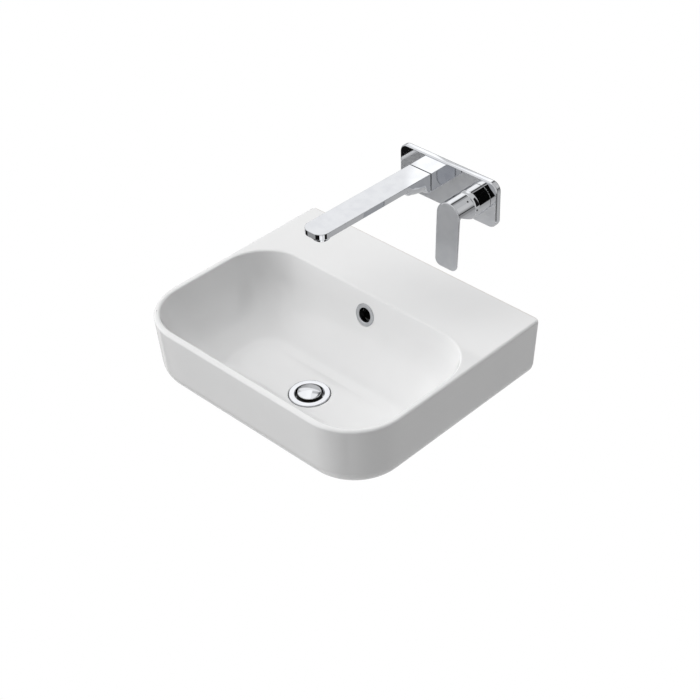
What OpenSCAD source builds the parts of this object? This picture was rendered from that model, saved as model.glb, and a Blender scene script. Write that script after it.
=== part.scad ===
// Wall-hung ceramic basin with its pop-up waste, and the wall-mounted spout and lever mixer above it.
// The origin lies on the wall, midway between the two wall bolts. +X is to the right as seen from
// the front, the front of the basin points to -Y, and +Z is up.

/* [Basin] */
// Width of the basin
basin_w = 500; // [460:5:620]
// Depth of the basin from the wall to the front
basin_d = 416; // [400:2:470]
// Height of the outside from the rim down to the underside
basin_h = 118; // [112:1:130]
// Height of the rim above the wall bolts
rim_rise = 60; // [48:1:72]
// Width of the rim at the front and sides of the bowl
rim_w = 10; // [8:0.5:14]
// Depth of the flat deck behind the bowl
deck_d = 126; // [118:1:140]
// Thickness of the deck
deck_t = 13; // [10:0.5:16]
// Radius of the front corners in plan
front_r = 95; // [75:1:110]
// Radius of the back corners in plan
back_r = 5.5; // [3:0.5:10]
// Rounding of the upper outside edge
edge_r = 4; // [2:0.5:6]
// Lean of the outside walls in degrees
wall_draft = 4; // [2:0.5:6]
// Rounding of the lower outside edge
foot_r = 35; // [20:1:40]
// Thickness of the plate that lies against the wall
back_t = 14; // [11:0.5:18]
// Thickness of the side walls of the hollow behind the bowl
side_t = 26; // [18:1:40]

/* [Bowl] */
// Depth of the bowl at the waste
bowl_depth = 122; // [112:1:128]
// Radius of the bowl's corners in plan
bowl_r = 81; // [65:1:90]
// Rounding of the bowl's upper edge
lip_r = 3.5; // [2:0.5:5]
// Lean of the bowl's walls in degrees
bowl_lean = 12; // [8:0.5:16]
// Depth of the straight part of the bowl's walls
bowl_straight = 38; // [28:1:46]
// Slope of the bowl where its curved wall ends, in degrees
floor_slope = 10; // [6:1:14]
// Fall of the floor from the end of the curved wall to the waste
floor_fall = 2.4; // [1:0.2:4]
// Thickness of the ceramic under the bowl
shell_t = 11; // [9:0.5:14]

/* [Overflow] */
// Depth of the overflow hole's centre below the rim
overflow_drop = 38; // [34:1:44]
// Radius of the overflow hole in the ceramic
overflow_r = 14.6; // [12:0.2:15.4]
// Radius of the overflow ring's face
ring_r = 19.2; // [17.4:0.2:22]
// Thickness of the overflow ring's face
ring_t = 2.2; // [1.6:0.2:3]
// Depth of the ring's flat seat in the ceramic
ring_seat = 0.8; // [0.6:0.1:1.2]
// Wall of the overflow ring's tube and of its sleeve
ring_wall = 1.1; // [0.8:0.1:1.4]
// Width of the overflow channel
duct_w = 28; // [24:1:32]
// Height of the overflow channel's section
duct_h = 12; // [9:0.5:14]
// Ceramic between the bowl and the overflow channel
duct_cover = 9; // [8:0.5:11]
// Ceramic around the outside of the overflow channel
duct_wall = 7; // [6:0.5:9]

/* [Waste] */
// Distance of the waste from the wall
waste_y = 267; // [263:1:271]
// Radius of the waste hole in the ceramic
waste_r = 26.2; // [26:0.1:27]
// Radius of the waste flange
flange_r = 33.75; // [32.5:0.25:36]
// Thickness of the flange plate
flange_t = 3; // [2.4:0.1:4]
// How far the flange stands above the bowl's floor
flange_rise = 1.5; // [1:0.1:2]
// Radius of the round opening in the flange
mouth_r = 24.2; // [23.6:0.1:24.4]
// Depth of the flange's shelf below its top
shelf_drop = 12.5; // [11:0.5:14]
// Radius of the opening in the shelf
shelf_r = 18.5; // [17:0.5:19]
// Radius of the boss under the bowl that the waste nut clamps
boss_r = 44; // [42:1:50]
// Depth of the boss below the bowl's floor at the waste
boss_h = 44; // [42:1:52]
// Outside radius of the threaded tail
tail_r = 23.9; // [23.5:0.1:24.1]
// Wall of the tail
tail_wall = 2.2; // [1.8:0.1:2.8]
// Length of the tail below the boss
tail_free = 40; // [34:1:60]
// Thickness of the waste nut
nut_t = 10; // [8:0.5:12]
// Outside radius of the waste nut
nut_r = 35; // [32:0.5:38]
// Thickness of the seal above the nut
cone_seal_t = 4; // [3:0.5:6]

/* [Plug] */
// Radius of the plug's dome
dome_r = 19.5; // [18:0.5:21]
// Thickness of the dome at its rim
dome_t = 2.6; // [2:0.2:3.4]
// Rise of the dome's crown above its rim
dome_crown = 1.8; // [1:0.2:2.4]
// Travel of the plug from open to closed
plug_travel = 5; // [4:0.5:6]
// Radius of the plug's seal
plug_seal_r = 21.4; // [20:0.2:22.4]
// Thickness of the plug's seal
plug_seal_t = 2.4; // [1.8:0.2:3]
// Height of the closed seal above the flange's shelf
seat_gap = 0.7; // [0.6:0.1:1.5]
// Radius of the plug's stem
stem_r = 3; // [2.5:0.25:4]
// Radius of the click cartridge
click_r = 6; // [5.5:0.25:7]

/* [Wall bolts] */
// Distance between the two wall bolts
bolt_pitch = 280; // [180:5:320]
// Radius of a wall bolt where it stands out of the wall
bolt_r = 5; // [4.5:0.5:6]
// Radius of a wall bolt inside the wall
bolt_in_r = 4.4; // [3.4:0.1:4.6]
// Length of a wall bolt behind the wall's face
bolt_in = 60; // [50:1:64]
// Radius of the bolt holes in the ceramic
bolt_hole_r = 9; // [8:0.5:11]
// Radius of the bolt sleeve's flange and of the washer
washer_r = 14; // [13:0.5:18]
// Thickness of the bolt sleeve's flange and of the washer
washer_t = 2; // [1.5:0.25:3]
// Width of the bolt nut across its flats
bolt_nut_af = 17; // [15:1:19]
// Thickness of the bolt nut
bolt_nut_t = 8; // [6:0.5:10]
// Length of bolt that stands out of its nut
bolt_proud = 6; // [4:0.5:12]

/* [Tap plate] */
// Width of the wall plate
plate_w = 198; // [190:1:230]
// Height of the wall plate
plate_h = 80; // [78:1:100]
// Thickness of the wall plate
plate_t = 9; // [7:0.5:12]
// Corner radius of the wall plate
plate_r = 15; // [8:0.5:20]
// Depth of the bevel around the plate's front
bevel_t = 2; // [1:0.25:3]
// Width of the bevel around the plate's front
bevel_w = 1.6; // [0.8:0.2:2.4]
// Thickness of the plate's gasket
gasket_t = 1; // [0.8:0.1:2]
// Distance from the plate's edges to the gasket's edges
gasket_inset = 0.5; // [0.3:0.1:1]
// Wall of the plate's hollow back
plate_wall = 2.5; // [2:0.25:3.5]
// Position of the plate's centre to the right of the basin's centre
plate_x = 65; // [20:1:90]
// Height of the plate's centre above the basin's rim
plate_rise = 174.5; // [160:0.5:220]

/* [Spout] */
// Width of the spout
spout_w = 43.5; // [40:0.5:48]
// Height of the spout's root block
spout_h = 32; // [30:0.5:36]
// Reach of the spout from the wall
spout_reach = 284; // [230:2:320]
// How far the spout's tip lies to the left of its root
spout_drift = 3; // [0:0.5:4]
// Distance from the wall to the seam between root block and arm
spout_seam = 46; // [42:1:52]
// Width of the seam
seam_gap = 0.5; // [0.4:0.1:0.8]
// Thickness of the spout's thin arm
arm_t = 10.2; // [9:0.2:12]
// Length of the deep part of the arm before it rises
belly_flat = 8; // [6:1:14]
// Length over which the underside rises to the thin arm
belly_rise = 44; // [34:1:50]
// Rounding of the belly's lower edges
belly_r = 17; // [10:0.5:18]
// Corner radius of the spout's tip in plan
tip_r = 17; // [8:0.5:18]
// Distance from the plate's left end to the spout's centre
spout_edge = 76; // [40:1:80]
// Height of the spout's top below the top of the plate
spout_top_gap = 2.5; // [2:0.5:8]
// Height of the water channel in the arm
channel_h = 4; // [3:0.2:4.6]
// Width of the water channel in the arm
channel_w = 26; // [18:1:30]
// Wall between the water channel and the seam
channel_wall = 2; // [1:0.5:3]
// Radius of the aerator's ring
aerator_r = 13; // [10:0.5:14]
// How far the aerator stands below the arm
aerator_drop = 10; // [3:0.5:12]
// Distance from the spout's tip to the aerator's centre
aerator_back = 22; // [18:0.5:30]
// Radius of the nipple that feeds the spout
nipple_r = 10.4; // [9:0.2:11]
// Wall of the nipple
nipple_wall = 2.4; // [2:0.2:3]

/* [Mixer] */
// Distance from the plate's right end to the mixer's axis
mixer_edge = 24; // [23.5:0.5:34]
// Distance from the plate's top edge down to the mixer's axis
mixer_drop = 24.5; // [23.5:0.5:34]
// Radius of the mixer's collar, sleeve and hub
mixer_r = 22.4; // [22:0.2:23.4]
// Distance from the wall to the seam between collar and sleeve
collar_end = 22; // [18:0.5:26]
// Distance from the wall to the front of the sleeve
sleeve_end = 56; // [55:0.5:58]
// Length of the sleeve's rounded front
nose_l = 10; // [9:0.5:11]
// Radius of the sleeve's rounded front where it ends
nose_r = 17; // [16:0.5:17.5]
// Radius of the opening in the sleeve's front
nose_hole_r = 12.5; // [12:0.5:13.5]
// Gap between the sleeve and the lever's hub
hub_gap = 0.8; // [0.6:0.1:1.4]
// Distance from the wall to the lever's pivot
pivot_s = 46; // [45:0.5:47]

/* [Lever] */
// Distance from the wall to the front of the hub
hub_end = 94.8; // [92:0.1:98]
// Thickness of the blade
blade_t = 2.75; // [2:0.25:4]
// Height of the blade from its lower end up to the hub's axis
blade_l = 91.1; // [85:0.1:100]
// Width of the blade at its lower end
blade_w = 43.6; // [40:0.1:44.2]
// Radius of the blade's lower corners
blade_r = 11.5; // [8:0.5:15]
// Lean of the blade away from the wall, in degrees
blade_lean = 2.7; // [0:0.1:5]
// Depth of the hub's underside below the axis at the hub's back
hub_foot = 15.2; // [14:0.2:16]
// Rise of the hub's underside towards the blade
hub_rise = 20.2; // [17:0.1:22]
// Radius of the grub screw in the hub
hub_screw_r = 1.6; // [1.4:0.1:2.2]
// Direction of the grub screw around the hub, up from the right, in degrees
hub_screw_a = 53; // [0:1:60]
// Distance from the back of the hub to the grub screw
hub_screw_s = 8.5; // [6:0.5:14]
// Depth of the recess in the hub's back
hub_hollow = 6.5; // [6:0.25:7]
// Radius of the recess at its floor
hub_hollow_r = 15.5; // [14.5:0.25:16]
// Depth of the hub's socket for the spindle
socket_l = 17; // [15:0.5:18]

/* [Cartridge] */
// Outside radius of the cartridge
cartridge_r = 17.5; // [17:0.1:17.8]
// Distance from the wall to the back of the cartridge
cartridge_start = 12; // [8:0.5:16]
// Radius of the turning carrier in the cartridge
carrier_r = 11; // [10:0.25:11.5]
// Width of the flat spindle
spindle_w = 8; // [7:0.25:9]
// Radius of the pin that the spindle tilts on
pin_r = 1.5; // [1.25:0.05:1.75]
// Thickness of each ceramic disc
disc_t = 3; // [2.5:0.25:4]

/* [Brass housing] */
// Wall of the brass neck that holds the cartridge
neck_wall = 2.7; // [2.2:0.1:2.8]
// Radius of the spigot behind the wall's face that carries the water ports
spigot_r = 12; // [11:0.25:14]
// Length of the mixer's spigot
spigot_l = 10; // [6:0.5:20]
// Radius of the spout nipple's end behind the wall's face
nipple_end_r = 9.6; // [8.8:0.1:9.8]
// Length of the nipple's end
nipple_end_l = 7; // [5:0.5:20]
// Thickness of the nut that holds the spout behind the plate
spout_nut_t = 4.5; // [3:0.25:5]

/* [Fits] */
// Radial clearance of parts that screw or slide together
fit_gap = 0.05; // [0.02:0.01:0.08]
// Radial clearance of loose parts
loose_gap = 0.3; // [0.2:0.05:0.5]

/* [Hidden] */
$fn = 96;
eps = 0.01;

// Heights in the part's frame
rim_z = rim_rise;
floor_z = rim_z - bowl_depth;
plate_z = rim_z + plate_rise;
mixer_x = plate_x + plate_w / 2 - mixer_edge;
mixer_z = plate_z + plate_h / 2 - mixer_drop;
spout_x = plate_x - plate_w / 2 + spout_edge;
spout_top = plate_z + plate_h / 2 - spout_top_gap;
spout_z = spout_top - spout_h / 2;
plate_s = gasket_t + plate_t;

// Bowl section, as inset from the bowl's edge and drop below the rim
bowl_sweep = 90 - floor_slope;
curve_r = (bowl_depth - floor_fall - bowl_straight) / (sin(bowl_sweep) - sin(bowl_lean));
lip_c = -0.6 * lip_r;
lip_i = lip_c + lip_r * cos(bowl_lean);
lip_z = lip_r * (1 - sin(bowl_lean));
straight_i = lip_i + (bowl_straight - lip_z) * tan(bowl_lean);
curve_ci = straight_i + curve_r * cos(bowl_lean);
curve_cz = bowl_straight - curve_r * sin(bowl_lean);
floor_i = curve_ci - curve_r * cos(bowl_sweep);
bowl_hx = basin_w / 2 - rim_w;
bowl_yf = -(basin_d - rim_w);
bowl_yb = -deck_d;
bowl_hy = (bowl_yb - bowl_yf) / 2;
seat_r = flange_r + 0.6;
seat_ring_r = seat_r + 1.2;
seat_drop = flange_t - flange_rise + 1.5;

// A point of the bowl's section on its curved part, pushed out into the ceramic by off
function curve_pt(off, a) = [curve_ci - (curve_r + off) * cos(a), curve_cz + (curve_r + off) * sin(a)];
// The inset of the bowl's straight wall at a drop, pushed out by off
function wall_inset(off, drop) = straight_i - (bowl_straight - drop) * tan(bowl_lean) - off / cos(bowl_lean);
// A point of that section as it lies behind the bowl, in Y and Z
function behind(p) = [-(deck_d + p[0]), rim_z - p[1]];

function arc_pts(c, r, a0, a1, n) = [for (k = [0:n]) c + r * [cos(a0 + (a1 - a0) * k / n), sin(a0 + (a1 - a0) * k / n)]];
function edge_pts(p, q, n) = [for (k = [1:n]) p + (q - p) * k / (n + 1)];

// Rounded rectangle in plan, anticlockwise from above, with round front and back corners
corner_n = 10;
function plan(hx, yf, yb, rf, rb, nb) = concat(
  arc_pts([hx - rf, yf + rf], rf, -90, 0, corner_n),
  edge_pts([hx, yf + rf], [hx, yb - rb], 4),
  arc_pts([hx - rb, yb - rb], rb, 0, 90, nb),
  edge_pts([hx - rb, yb], [-hx + rb, yb], 7),
  arc_pts([-hx + rb, yb - rb], rb, 90, 180, nb),
  edge_pts([-hx, yb - rb], [-hx, yf + rf], 4),
  arc_pts([-hx + rf, yf + rf], rf, 180, 270, corner_n),
  edge_pts([-hx + rf, yf], [hx - rf, yf], 4)
);
function to_circle(pts, c, r, t) = [for (p = pts) p + (c + (p - c) * r / norm(p - c) - p) * t];
function lift(pts, z) = [for (p = pts) [p[0], p[1], z]];
function total(pts, k) = k < 0 ? [0, 0, 0] : pts[k] + total(pts, k - 1);
function middle(pts) = total(pts, len(pts) - 1) / len(pts);

// Closed body through rings of equal point count, from the highest ring to the lowest
module loft(rings) {
  n = len(rings[0]);
  m = len(rings);
  polyhedron(
    points = concat([for (ring = rings) each ring], [middle(rings[0]), middle(rings[m - 1])]),
    faces = concat(
      [for (i = [0:n - 1]) [m * n, (i + 1) % n, i]],
      [for (k = [0:m - 2], i = [0:n - 1]) [k * n + i, k * n + (i + 1) % n, (k + 1) * n + (i + 1) % n]],
      [for (k = [0:m - 2], i = [0:n - 1]) [k * n + i, (k + 1) * n + (i + 1) % n, (k + 1) * n + i]],
      [for (i = [0:n - 1]) [m * n + 1, (m - 1) * n + i, (m - 1) * n + (i + 1) % n]]
    )
  );
}

waste_c = [0, -waste_y];

function outer_plan(inset) = plan(basin_w / 2 - inset, -(basin_d - inset), 0, front_r - inset * 0.9, back_r, 3);
foot_cz = basin_h - foot_r;
foot_start = foot_cz + foot_r * sin(wall_draft);
foot_i = (foot_start - edge_r) * tan(wall_draft) + foot_r * cos(wall_draft);
under_drop = bowl_depth + shell_t;
under_r = boss_r + 16;

// Outside of the ceramic: rounded top edge, leaning walls, rounded foot and a falling underside
module outer_form() {
  rings = concat(
    [for (a = [0:30:90]) lift(outer_plan(edge_r * (1 - sin(a))), rim_z - edge_r * (1 - cos(a)))],
    [for (a = [wall_draft:(90 - wall_draft) / 6:90.1])
      lift(outer_plan(foot_i - foot_r * cos(a)), rim_z - foot_cz - foot_r * sin(a))],
    [for (t = [0.25, 0.5, 0.75, 1])
      lift(to_circle(outer_plan(foot_i), waste_c, under_r, t), rim_z - basin_h - (under_drop - basin_h) * sin(90 * t))]
  );
  loft(rings);
}

function bowl_plan(inset) = plan(
  bowl_hx - inset, bowl_yf + inset, bowl_yb - inset,
  bowl_r + (bowl_hy - floor_i - 0.6 - bowl_r) * max(inset, 0) / floor_i,
  bowl_r + (bowl_hy - floor_i - 0.6 - bowl_r) * max(inset, 0) / floor_i, corner_n);

// Space inside the bowl
module bowl_space() {
  rings = concat(
    [lift(bowl_plan(lip_c), rim_z + 1)],
    [for (a = [0, 26, 52, 90 - bowl_lean])
      lift(bowl_plan(lip_c + lip_r * sin(a)), rim_z - lip_r * (1 - cos(a)))],
    [for (a = [bowl_lean:(bowl_sweep - bowl_lean) / 8:bowl_sweep + 0.1])
      let (p = curve_pt(0, a)) lift(bowl_plan(p[0]), rim_z - p[1])],
    [for (t = [0.5, 1])
      lift(to_circle(bowl_plan(floor_i), waste_c, seat_ring_r, t), floor_z + floor_fall * pow(1 - t, 2))]
  );
  loft(rings);
}

// Fills or cuts a band of width w across the basin's middle from points in Y and Z
module band(pts, w) {
  rotate([90, 0, 90]) linear_extrude(height = w, center = true) polygon(pts);
}

// The hollow behind the bowl, open underneath, that gives access to the wall bolts
module service_space() {
  outline = concat(
    [[-back_t, rim_z - deck_t], behind([wall_inset(shell_t, deck_t), deck_t])],
    [for (a = [bowl_lean:10:bowl_sweep - 8]) behind(curve_pt(shell_t, a))],
    [behind(curve_pt(shell_t, bowl_sweep - 8) + [4, 60]), [-back_t, rim_z - basin_h - 60]]
  );
  band(outline, basin_w - 2 * side_t);
}

duct_a = 55;
duct_in = waste_y - deck_d - waste_r + 6;
duct_foot = bowl_depth + boss_h - duct_wall;
duct_top = overflow_drop - overflow_r - 4;

// Section of the overflow channel between two offsets from the bowl, down to the waste hole
function duct_pts(near, far, top, foot, reach) = concat(
  [behind([wall_inset(near, top), top])],
  [for (a = [bowl_lean:(duct_a - bowl_lean) / 4:duct_a + 0.1]) behind(curve_pt(near, a))],
  [behind([reach, foot - (far - near)]), behind([reach, foot])],
  [for (a = [duct_a:-(duct_a - bowl_lean) / 4:bowl_lean - 0.1]) behind(curve_pt(far, a))],
  [behind([wall_inset(far, top), top])]
);

// Places its children on the bowl's back wall at the overflow, with local +Z pointing into the bowl
module at_overflow() {
  translate([0, -(deck_d + wall_inset(0, overflow_drop)), rim_z - overflow_drop])
    rotate([90 - bowl_lean, 0, 0])
      children();
}

module at_waste() {
  translate([0, -waste_y, floor_z]) children();
}

module at_bolts() {
  for (side = [-1, 1]) {
    translate([side * bolt_pitch / 2, 0, 0]) rotate([90, 0, 0]) children();
  }
}

// Local +Z points away from the wall
module from_wall(x, z) {
  translate([x, 0, z]) rotate([90, 0, 0]) children();
}

module tube(r_out, r_in, z0, z1) {
  translate([0, 0, z0]) difference() {
    cylinder(r = r_out, h = z1 - z0);
    translate([0, 0, -1]) cylinder(r = r_in, h = z1 - z0 + 2);
  }
}

// The whole ceramic casting
module casting() {
  difference() {
    union() {
      difference() {
        outer_form();
        service_space();
      }
      // Housing of the overflow channel and the boss that the waste clamps to
      band(duct_pts(duct_cover - 4, duct_cover + duct_h + duct_wall, deck_t - 3,
        duct_foot + duct_wall - eps, duct_in), duct_w + 2 * duct_wall);
      at_waste() translate([0, 0, -boss_h]) cylinder(r = boss_r, h = boss_h - 2);
    }
    bowl_space();
    band(duct_pts(duct_cover, duct_cover + duct_h, duct_top, duct_foot, duct_in), duct_w);
    at_overflow() translate([0, 0, -duct_cover - 4]) cylinder(r = overflow_r, h = duct_cover + 10);
    at_overflow() translate([0, 0, -ring_seat]) cylinder(r = ring_r + loose_gap, h = 6);
    at_waste() {
      translate([0, 0, -boss_h - 1]) cylinder(r = waste_r, h = boss_h + 10);
      translate([0, 0, -seat_drop]) cylinder(r = seat_r, h = seat_drop + 10);
    }
    at_bolts() translate([0, 0, -1]) cylinder(r = bolt_hole_r, h = back_t + 2);
  }
}

// The casting is one piece. It is stored as a bowl part and a wall part that meet in a flat plane.
seam_y = -(deck_d - 26);

module basin_body() {
  color("white") difference() {
    casting();
    translate([-basin_w, seam_y, -basin_w]) cube([2 * basin_w, basin_d, 2 * basin_w]);
  }
}

module basin_back() {
  color("white") difference() {
    casting();
    translate([-basin_w, seam_y - basin_d, -basin_w]) cube([2 * basin_w, basin_d, 2 * basin_w]);
  }
}

sleeve_r = overflow_r - fit_gap;
ring_tube_r = sleeve_r - ring_wall - fit_gap;
ring_tube_l = duct_cover - 1;

module overflow_ring() {
  color("gainsboro") at_overflow() translate([0, 0, -ring_seat]) rotate_extrude() polygon(concat(
    [[ring_tube_r - ring_wall, -ring_tube_l], [ring_tube_r, -ring_tube_l], [ring_tube_r, 0], [ring_r, 0]],
    arc_pts([ring_r - 0.9, ring_t - 0.9], 0.9, 0, 90, 4),
    arc_pts([ring_tube_r - ring_wall + 1.1, ring_t - 1.1], 1.1, 90, 180, 4)
  ));
}

module overflow_sleeve() {
  color("dimgray") at_overflow() tube(sleeve_r, sleeve_r - ring_wall, -ring_seat - ring_tube_l, -ring_seat - 0.1);
}

flange_z1 = flange_rise;
flange_z0 = flange_rise - flange_t;
shelf_z = flange_z1 - shelf_drop;
shelf_t = 1.5;
throat_r = waste_r - 0.6;
throat_end = shelf_z - shelf_t - 7;
tail_top = shelf_z - shelf_t - 0.1;
tail_end = -boss_h - tail_free;
tail_in = tail_r - tail_wall;

module waste_flange() {
  color("silver") at_waste() rotate_extrude() polygon(concat(
    [[shelf_r, shelf_z - shelf_t], [tail_r + fit_gap, shelf_z - shelf_t], [tail_r + fit_gap, throat_end],
     [throat_r, throat_end], [throat_r, flange_z0], [flange_r, flange_z0]],
    arc_pts([flange_r - 1.4, flange_z1 - 1.4], 1.4, 0, 90, 5),
    arc_pts([mouth_r + 0.7, flange_z1 - 0.7], 0.7, 90, 180, 3),
    [[mouth_r, shelf_z + 1.2], [shelf_r, shelf_z]]
  ));
}

module waste_top_seal() {
  color("black") at_waste() tube(seat_r - loose_gap, waste_r + 0.2, -seat_drop, flange_z0);
}

slot_top = -(duct_foot - duct_h - bowl_depth) - 1;
slot_h = duct_h - 2;
spider_top = slot_top - slot_h - 3;
spider_h = 9;
spider_hub_r = click_r + 2.4;
nut_bottom = -boss_h - cone_seal_t - nut_t;

module waste_tail() {
  color("silver") at_waste() {
    difference() {
      tube(tail_r, tail_in, tail_end, tail_top);
      // Groove that ends the free part of the thread below the nut
      tube(tail_r + 1, tail_r - 0.5, nut_bottom - 2, nut_bottom - 1);
      // Four slots that let the overflow water in
      for (a = [0, 90]) {
        rotate([0, 0, a]) translate([-tail_r - 1, -6, slot_top - slot_h]) cube([2 * tail_r + 2, 12, slot_h]);
      }
    }
    // Spider with a hub that the click cartridge screws into
    tube(spider_hub_r, click_r + fit_gap, spider_top - spider_h, spider_top);
    for (a = [45:90:315]) {
      rotate([0, 0, a]) translate([spider_hub_r - 0.5, -1.5, spider_top - spider_h])
        cube([tail_in - spider_hub_r + 1, 3, spider_h]);
    }
  }
}

module waste_cone_seal() {
  color("black") at_waste() rotate_extrude() polygon([
    [tail_r + loose_gap, -boss_h - cone_seal_t], [tail_r + loose_gap, -boss_h + 3], [waste_r - loose_gap, -boss_h],
    [boss_r - 4, -boss_h], [boss_r - 7, -boss_h - cone_seal_t]
  ]);
}

module waste_nut() {
  nut_z = -boss_h - cone_seal_t;
  color("silver") at_waste() difference() {
    union() {
      translate([0, 0, nut_z - nut_t]) cylinder(r = nut_r - 4, h = nut_t);
      translate([0, 0, nut_z - 2.5]) cylinder(r = nut_r, h = 2.5);
      // Lugs to grip the nut
      for (a = [0:60:300]) {
        rotate([0, 0, a]) translate([nut_r - 6, -3, nut_z - nut_t]) cube([6, 6, nut_t]);
      }
    }
    translate([0, 0, nut_z - nut_t - 1]) cylinder(r = tail_r + fit_gap, h = nut_t + 2);
  }
}

seal_z = shelf_z + seat_gap + plug_travel;
neck_top = flange_z1 + 0.7;
neck_r = 12;

module plug_dome() {
  color("gainsboro") at_waste() rotate_extrude() polygon(concat(
    [[0, neck_top - 1], [neck_r, neck_top - 1], [neck_r, neck_top], [dome_r - 1, neck_top]],
    arc_pts([dome_r - 1.2, neck_top + dome_t - 1.2], 1.2, -30, 50, 4),
    [for (k = [1:8]) let (u = 1 - k / 8)
      [(dome_r - 1.2) * u, neck_top + dome_t - 0.3 + dome_crown * (1 - u * u)]]
  ));
}

module plug_seal() {
  color("black") at_waste() rotate_extrude() polygon([
    [neck_r - 4, seal_z], [plug_seal_r - 1.4, seal_z], [plug_seal_r, seal_z + plug_seal_t],
    [neck_r - 4, seal_z + plug_seal_t]
  ]);
}

click_top = seal_z - plug_travel - 6;
stem_end = spider_top - spider_h - 4;

module plug_stem() {
  color("darkgoldenrod") at_waste() union() {
    translate([0, 0, stem_end + plug_travel]) cylinder(r = stem_r, h = seal_z - stem_end - plug_travel);
    // Carrier under the seal, and the neck that the dome screws onto
    translate([0, 0, seal_z - 2]) cylinder(r = shelf_r - 0.8, h = 2);
    translate([0, 0, seal_z - eps]) cylinder(r = neck_r - 4 - fit_gap, h = neck_top - 1 - seal_z + eps);
    translate([0, 0, seal_z + plug_seal_t]) cylinder(r = neck_r, h = neck_top - 1 - seal_z - plug_seal_t);
  }
}

module click_cartridge() {
  color("whitesmoke") at_waste() difference() {
    union() {
      translate([0, 0, stem_end - 3]) cylinder(r = click_r, h = click_top - stem_end + 3);
      translate([0, 0, spider_top]) cylinder(r = click_r + 1.6, h = 4);
    }
    translate([0, 0, stem_end - 0.5]) cylinder(r = stem_r + fit_gap, h = click_top - stem_end + 2);
  }
}

nut_s = back_t + 2 * washer_t;

module wall_bolts() {
  color("lightgray") at_bolts() {
    cylinder(r = bolt_r, h = nut_s + bolt_nut_t + bolt_proud);
    translate([0, 0, -bolt_in + 6]) cylinder(r = bolt_in_r, h = bolt_in - 6 + eps);
    translate([0, 0, -bolt_in]) cylinder(r1 = bolt_in_r - 3, r2 = bolt_in_r, h = 6 + eps);
  }
}

module bolt_sleeves() {
  color("dimgray") at_bolts() {
    tube(bolt_hole_r - 0.1, bolt_r + 0.2, 0.2, back_t + eps);
    tube(washer_r, bolt_r + 0.2, back_t, back_t + washer_t);
  }
}

module bolt_washers() {
  color("lightgray") at_bolts() tube(washer_r, bolt_r + 0.25, back_t + washer_t, nut_s);
}

module bolt_nuts() {
  color("lightgray") at_bolts() difference() {
    translate([0, 0, nut_s]) cylinder(r = bolt_nut_af / 2 / cos(30), h = bolt_nut_t, $fn = 6);
    translate([0, 0, nut_s - 1]) cylinder(r = bolt_r + fit_gap, h = bolt_nut_t + 2);
  }
}

neck_in = cartridge_r + fit_gap;
neck_out = neck_in + neck_wall;
neck_end = sleeve_end - 13;
spout_bore_s = spout_seam - 12;
port_c = 6.5;
port_r = 2.6;
back_flange_r = min(mixer_edge, mixer_drop) - plate_wall - gasket_inset - loose_gap;
pocket_s = plate_s - plate_wall;

// Brass housing of the cartridge: a neck with a flange behind the plate, and a spigot with the ports
module mixer_body() {
  color("darkgoldenrod") from_wall(mixer_x, mixer_z) difference() {
    union() {
      translate([0, 0, loose_gap]) cylinder(r = neck_out, h = neck_end - loose_gap);
      translate([0, 0, loose_gap]) cylinder(r = back_flange_r, h = pocket_s - loose_gap);
      translate([0, 0, -spigot_l]) cylinder(r = spigot_r, h = spigot_l + 1);
    }
    translate([0, 0, cartridge_start]) cylinder(r = neck_in, h = neck_end);
    for (a = [90, 210, 330]) {
      rotate([0, 0, a]) translate([port_c, 0, -spigot_l - 1]) cylinder(r = port_r, h = spigot_l + cartridge_start + 2);
    }
  }
}

// Rounded rectangle of exact arcs and straight edges
module round_rect(w, h, r) {
  square([w - 2 * r, h], center = true);
  square([w, h - 2 * r], center = true);
  for (sx = [-1, 1], sy = [-1, 1]) {
    translate([sx * (w / 2 - r), sy * (h / 2 - r)]) circle(r = r);
  }
}

collar_hole_r = neck_out + 0.3;
gasket_in = plate_wall + gasket_inset;

module plate_gasket() {
  color("dimgray") from_wall(plate_x, plate_z) linear_extrude(height = gasket_t) difference() {
    round_rect(plate_w - 2 * gasket_inset, plate_h - 2 * gasket_inset, plate_r - gasket_inset);
    round_rect(plate_w - 2 * gasket_in, plate_h - 2 * gasket_in, plate_r - gasket_in);
  }
}

// Section of the plate across a width, with both front edges bevelled
module bevel_section(w) {
  polygon([
    [-w / 2, gasket_t], [w / 2, gasket_t], [w / 2, plate_s - bevel_t], [w / 2 - bevel_w, plate_s],
    [bevel_w - w / 2, plate_s], [-w / 2, plate_s - bevel_t]
  ]);
}

// Hollow-backed plate with a bevelled front edge
module tap_plate() {
  color("silver") difference() {
    from_wall(plate_x, plate_z) difference() {
      union() {
        rotate([90, 0, 0]) linear_extrude(height = plate_h - 2 * plate_r, center = true) bevel_section(plate_w);
        rotate([90, 0, 90]) linear_extrude(height = plate_w - 2 * plate_r, center = true) bevel_section(plate_h);
        for (sx = [-1, 1], sy = [-1, 1]) {
          translate([sx * (plate_w / 2 - plate_r), sy * (plate_h / 2 - plate_r), gasket_t]) {
            cylinder(r = plate_r, h = plate_t - bevel_t);
            translate([0, 0, plate_t - bevel_t]) cylinder(r1 = plate_r, r2 = plate_r - bevel_w, h = bevel_t);
          }
        }
      }
      translate([0, 0, gasket_t - 1]) linear_extrude(height = pocket_s - gasket_t + 1)
        round_rect(plate_w - 2 * plate_wall, plate_h - 2 * plate_wall, plate_r - plate_wall);
    }
    from_wall(mixer_x, mixer_z) cylinder(r = collar_hole_r, h = plate_s + 1);
    from_wall(spout_x, spout_z) cylinder(r = nipple_r + loose_gap, h = plate_s + 1);
  }
}

// Threaded pipe that the spout screws onto, with a smaller end behind the wall's face
module spout_nipple() {
  bore = nipple_r - nipple_wall;
  color("darkgoldenrod") from_wall(spout_x, spout_z) {
    tube(nipple_r, bore, loose_gap, spout_bore_s - 1);
    tube(nipple_end_r, bore, -nipple_end_l, loose_gap + eps);
  }
}

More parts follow.
